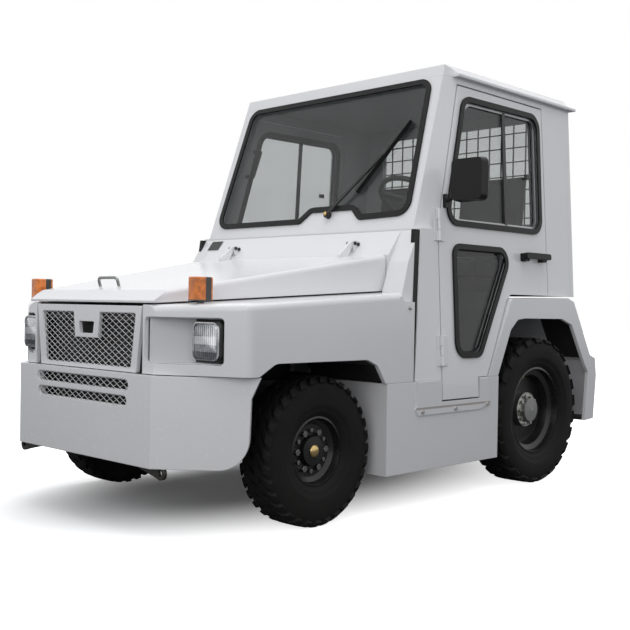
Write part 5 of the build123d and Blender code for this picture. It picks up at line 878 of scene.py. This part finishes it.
def glass_finish(name, tint, haze):
    """A thin pane: clear through a tint, glossy towards grazing angles, with a thin veil of dust."""
    made = bpy.data.materials.new(name)
    made.use_nodes = True
    tree = made.node_tree
    tree.nodes.remove(tree.nodes["Principled BSDF"])
    clear = tree.nodes.new("ShaderNodeBsdfTransparent")
    clear.inputs["Color"].default_value = tint + (1,)
    gloss = tree.nodes.new("ShaderNodeBsdfGlossy")
    gloss.inputs["Roughness"].default_value = 0.02
    bend = tree.nodes.new("ShaderNodeLayerWeight")
    bend.inputs["Blend"].default_value = 0.5
    steep = tree.nodes.new("ShaderNodeMath")
    steep.operation = "POWER"
    steep.inputs[1].default_value = 5
    share = tree.nodes.new("ShaderNodeMapRange")
    share.inputs["To Min"].default_value = 0.035
    share.inputs["To Max"].default_value = 0.8
    pane = tree.nodes.new("ShaderNodeMixShader")
    tree.links.new(bend.outputs["Facing"], steep.inputs[0])
    tree.links.new(steep.outputs[0], share.inputs["Value"])
    tree.links.new(share.outputs["Result"], pane.inputs[0])
    tree.links.new(clear.outputs[0], pane.inputs[1])
    tree.links.new(gloss.outputs[0], pane.inputs[2])
    dust = tree.nodes.new("ShaderNodeBsdfDiffuse")
    dust.inputs["Color"].default_value = (0.6, 0.6, 0.58, 1)
    place = tree.nodes.new("ShaderNodeTexCoord")
    cloud = tree.nodes.new("ShaderNodeTexNoise")
    cloud.inputs["Scale"].default_value = 5
    cloud.inputs["Detail"].default_value = 6
    tree.links.new(place.outputs["Object"], cloud.inputs["Vector"])
    veil = tree.nodes.new("ShaderNodeMapRange")
    veil.inputs["From Min"].default_value = 0.35
    veil.inputs["From Max"].default_value = 0.75
    veil.inputs["To Max"].default_value = haze
    tree.links.new(cloud.outputs["Fac"], veil.inputs["Value"])
    whole = tree.nodes.new("ShaderNodeMixShader")
    tree.links.new(veil.outputs["Result"], whole.inputs[0])
    tree.links.new(pane.outputs[0], whole.inputs[1])
    tree.links.new(dust.outputs[0], whole.inputs[2])
    tree.links.new(whole.outputs[0], tree.nodes["Material Output"].inputs["Surface"])
    return made


glass = glass_finish("pane_glass", (0.8, 0.81, 0.81), 0.02)
for part in ("cab_glass", "door_glass_left", "door_glass_right"):
    dress(part, glass)

# Door window frames
# A thin aluminium frame inside each upper door window's rubber, with a black upright where the sliding panes
# meet and a black catch on the rear pane. The rubber has a flat lip on the inside; the lower pane a slim one.
aluminium = finish(
    "aluminium", (0.42, 0.43, 0.44), 0.38, metal=0.8, tint=0.1, grain=200, bump=0.05, patch=12
)
SILL_X = 0.760
wall_out = Vector((1, 0, SIDE_LEAN)).normalized()


def wall_point(sign, station, height, depth):
    """A point on a cab side at a station and height, a depth in from the outer face."""
    x = SILL_X - SIDE_LEAN * (height - SILL_HEIGHT) - depth * wall_out.x
    return Vector((CENTRE_X + sign * x, STATION_0 + station, height - depth * wall_out.z))


def wall_frame(name, sign, corners, radius, width, depth, thick, material, body):
    """A flat rounded ring on a cab side: corners are (station, height), in order round the window."""
    deselect()
    bpy.ops.mesh.primitive_plane_add(size=1)
    ring = bpy.context.object
    for corner, (station, height) in zip((0, 1, 3, 2), corners):
        ring.data.vertices[corner].co = wall_point(sign, station, height, depth)
    bpy.ops.object.mode_set(mode="EDIT")
    bpy.ops.mesh.select_all(action="SELECT")
    bpy.ops.mesh.bevel(offset=radius, segments=6, affect="VERTICES")
    bpy.ops.mesh.select_all(action="SELECT")
    bpy.ops.mesh.inset(thickness=width, depth=0)
    bpy.ops.mesh.delete(type="FACE")
    bpy.ops.mesh.select_all(action="SELECT")
    push = wall_out * thick
    bpy.ops.mesh.extrude_region_move(TRANSFORM_OT_translate={"value": (sign * push.x, 0, push.z)})
    settle(ring, name, material, body, 40)


def wall_block(name, sign, stations, heights, depths, material, body):
    """A box that follows a cab side, between two stations, two heights and two depths."""
    deselect()
    bpy.ops.mesh.primitive_cube_add(size=2)
    block = bpy.context.object
    for corner in block.data.vertices:
        station = stations[corner.co.y > 0]
        height = heights[corner.co.z > 0]
        depth = depths[corner.co.x > 0]
        corner.co = wall_point(sign, station, height, depth)
    settle(block, name, material, body, 30)


UPPER_PANE = ((1.402, 1.246), (1.558, 1.806), (2.168, 1.812), (2.168, 1.254))
INNER_RING = ((1.382, 1.228), (1.544, 1.824), (2.186, 1.830), (2.186, 1.236))
LOWER_PANE = ((1.451, 1.131), (1.885, 1.132), (1.617, 0.660), (1.454, 0.660))
for side, sign in (("left", 1), ("right", -1)):
    door = f"door_{side}"
    wall_frame(
        f"window_frame_{side}", sign, UPPER_PANE, 0.055, 0.016, 0.0115, 0.007, aluminium, door
    )
    wall_block(
        f"window_upright_{side}", sign, (1.871, 1.895), (1.262, 1.800), (0.0117, 0.0035), blank_black, door,
    )
    wall_block(
        f"window_catch_{side}", sign, (2.066, 2.098), (1.502, 1.524), (0.0117, -0.002), blank_black, door,
    )
    wall_frame(f"inner_ring_{side}", sign, INNER_RING, 0.07, 0.028, 0.042, 0.006, seal_rubber, door)
    wall_frame(
        f"lower_frame_{side}", sign, LOWER_PANE, 0.045, 0.009, 0.0115, 0.005, seal_rubber, door
    )

# Mirror
# A black moulded head on a bent arm clamped to the driver's door, with its glass on the rear face.
mirror_black = finish(
    "mirror_black", (0.007, 0.007, 0.007), 0.35, tint=0.2, grain=120, bump=0.05, edge=0.002, patch=9, gleam=0.25
)
dress("mirror", mirror_black)
mirror_silver = finish(
    "mirror_glass", (0.8, 0.82, 0.84), 0.04, metal=1, tint=0.02, grain=20, bump=0.0, patch=5
)
mirror_pane = rounded_plate((CENTRE_X + 0.8515, STATION_0 + 1.4012, 1.418), 0.074, 0.084, 0.018, 0.0014, 0)
settle(mirror_pane, "mirror_pane", mirror_silver, "door_left", 40)

# Wiper
# A black pressed arm with a twin blade, held to its spindle by a brass cap nut.
wiper_black = finish(
    "wiper_black", (0.014, 0.014, 0.014), 0.45, tint=0.2, grain=90, bump=0.03, edge=0.001, patch=12
)
dress("wiper", wiper_black)
SCREEN_ORIGIN = Vector((CENTRE_X, STATION_0 + SCREEN_FOOT[0], SCREEN_FOOT[1]))
screen_up = Vector((0, SCREEN_LEAN, 1)).normalized()
screen_out = Vector((0, -1, SCREEN_LEAN)).normalized()
SPINDLE = (0.157, (1.285 - SCREEN_FOOT[1]) * math.hypot(1, SCREEN_LEAN))
nut_place = SCREEN_ORIGIN + Vector((SPINDLE[0], 0, 0)) + SPINDLE[1] * screen_up + 0.0235 * screen_out
round_bolt("wiper_nut", nut_place, screen_out, 0.010, 0.009, brass, "vehicle", sides=6)

# Rear guard
# A welded screen of round wire in black over the rear window.
guard_black = finish("guard_black", (0.03, 0.03, 0.032), 0.5, tint=0.3, grain=200, bump=0.2, patch=10)
dress("rear_guard", guard_black)

# Lamps and hitch at the rear
# Moulded lenses, red below and amber above, and a cast hitch whose drop pin is plated.
tail_red = finish("tail_red", (0.45, 0.01, 0.012), 0.22, tint=0.15, grain=300, bump=0.2, patch=30)
tail_red.node_tree.nodes["Principled BSDF"].inputs["Coat Weight"].default_value = 0.6
zone(tail_red, (("Z", ">", 0.470),), (0.75, 0.2, 0.02))
dress("rear_lamps", tail_red)
# Cab interior
# A ribbed black rubber mat on the steel floor, a black moulded dashboard with column and pedals, a black steering
# wheel, and a looped grab rail on the far door beside its window.
mat_black = finish("mat_black", (0.03, 0.03, 0.03), 0.8, tint=0.35, grain=90, bump=0.5, patch=8)
dress("cab_floor", mat_black)
dash_black = finish(
    "dash_black", (0.035, 0.035, 0.037), 0.55, tint=0.25, grain=350, bump=0.35, edge=0.004, patch=6
)
dress("dashboard", dash_black)
rim_black = finish("rim_black", (0.02, 0.02, 0.02), 0.4, tint=0.2, grain=200, bump=0.1, patch=12)
dress("steering_wheel", rim_black)

DOOR_THICK = 0.036
GRAB_REACH = 0.080
RAIL_RADIUS = 0.010
rail_points = [
    (1.497, 1.700, DOOR_THICK), (1.512, 1.694, GRAB_REACH), (1.470, 1.566, GRAB_REACH),
    (1.452, 1.560, DOOR_THICK),
]
deselect()
bpy.ops.mesh.primitive_circle_add(vertices=12, radius=RAIL_RADIUS)
rail = bpy.context.object
rail_path = [wall_point(-1, *point) for point in rail_points]
first = rail_path[0]
heading = (rail_path[1] - rail_path[0]).normalized()
rail.matrix_world = Matrix.Translation(first) @ heading.to_track_quat("Z", "Y").to_matrix().to_4x4()
bpy.ops.object.transform_apply(location=True, rotation=True, scale=True)
bpy.ops.object.mode_set(mode="EDIT")
bpy.ops.mesh.select_all(action="SELECT")
bpy.ops.mesh.edge_face_add()
for start, end in zip(rail_path, rail_path[1:]):
    bpy.ops.mesh.extrude_region_move(TRANSFORM_OT_translate={"value": tuple(end - start)})
settle(rail, "grab_rail", rim_black, "door_right", 50)

# Seats
# Two foam cushions and two backrests under black vinyl. They are inflated as cloth so that the faces crown and
# the sides pull in between the corners.
vinyl = finish("seat_vinyl", (0.03, 0.03, 0.032), 0.5, tint=0.3, grain=260, bump=0.35, patch=7)


def pad(name, middle, size, turn_x, bulge, grid):
    """A cushion: a bevelled block remeshed, swollen by cloth pressure, capped, and smoothed once."""
    deselect()
    bpy.ops.mesh.primitive_cube_add(size=1)
    block = bpy.context.object
    block.scale = size
    bpy.ops.object.transform_apply(location=True, rotation=True, scale=True)
    bpy.ops.object.mode_set(mode="EDIT")
    bpy.ops.mesh.select_all(action="SELECT")
    bpy.ops.mesh.bevel(offset=0.022, segments=3)
    bpy.ops.object.mode_set(mode="OBJECT")
    remesh = block.modifiers.new("remesh", "REMESH")
    remesh.mode = "VOXEL"
    remesh.voxel_size = grid
    bpy.ops.object.modifier_apply(modifier="remesh")
    start = [corner.co.copy() for corner in block.data.vertices]
    cloth = block.modifiers.new("cloth", "CLOTH")
    cloth.settings.use_pressure = True
    cloth.settings.uniform_pressure_force = 4
    cloth.settings.effector_weights.gravity = 0
    for step in range(1, 21):
        studio.frame_set(step)
    bpy.ops.object.modifier_apply(modifier="cloth")
    studio.frame_set(1)
    for corner, before in zip(block.data.vertices, start):
        move = corner.co - before
        if move.length > bulge:
            corner.co = before + move.normalized() * bulge
    half = Vector(size) / 2
    for corner in block.data.vertices:
        if corner.co.z < -half.z:
            corner.co.z = -half.z
    rounder = block.modifiers.new("rounder", "SUBSURF")
    rounder.levels = 1
    rounder.render_levels = 1
    bpy.ops.object.modifier_apply(modifier="rounder")
    block.matrix_world = Matrix.Translation(middle) @ Matrix.Rotation(turn_x, 4, "X")
    settle(block, name, vinyl, "vehicle", 60, ("seat",))


SEAT_X = 0.290
CUSHION = (0.440, 0.450, 0.088)
BACKREST = (0.420, 0.052, 0.440)
BACK_LEAN = math.atan2(0.045 + 0.009, 0.490)
CLOTH_GRID = 0.0085
for who, side in (("driver", 1), ("passenger", -1)):
    seat_x = CENTRE_X + side * SEAT_X
    pad(f"seat_cushion_{who}", (seat_x, STATION_0 + 2.140, 1.0650), CUSHION, 0, 0.011, CLOTH_GRID)
    pad(f"seat_back_{who}", (seat_x, STATION_0 + 2.3815, 1.3560), BACKREST, -BACK_LEAN, 0.009, CLOTH_GRID)
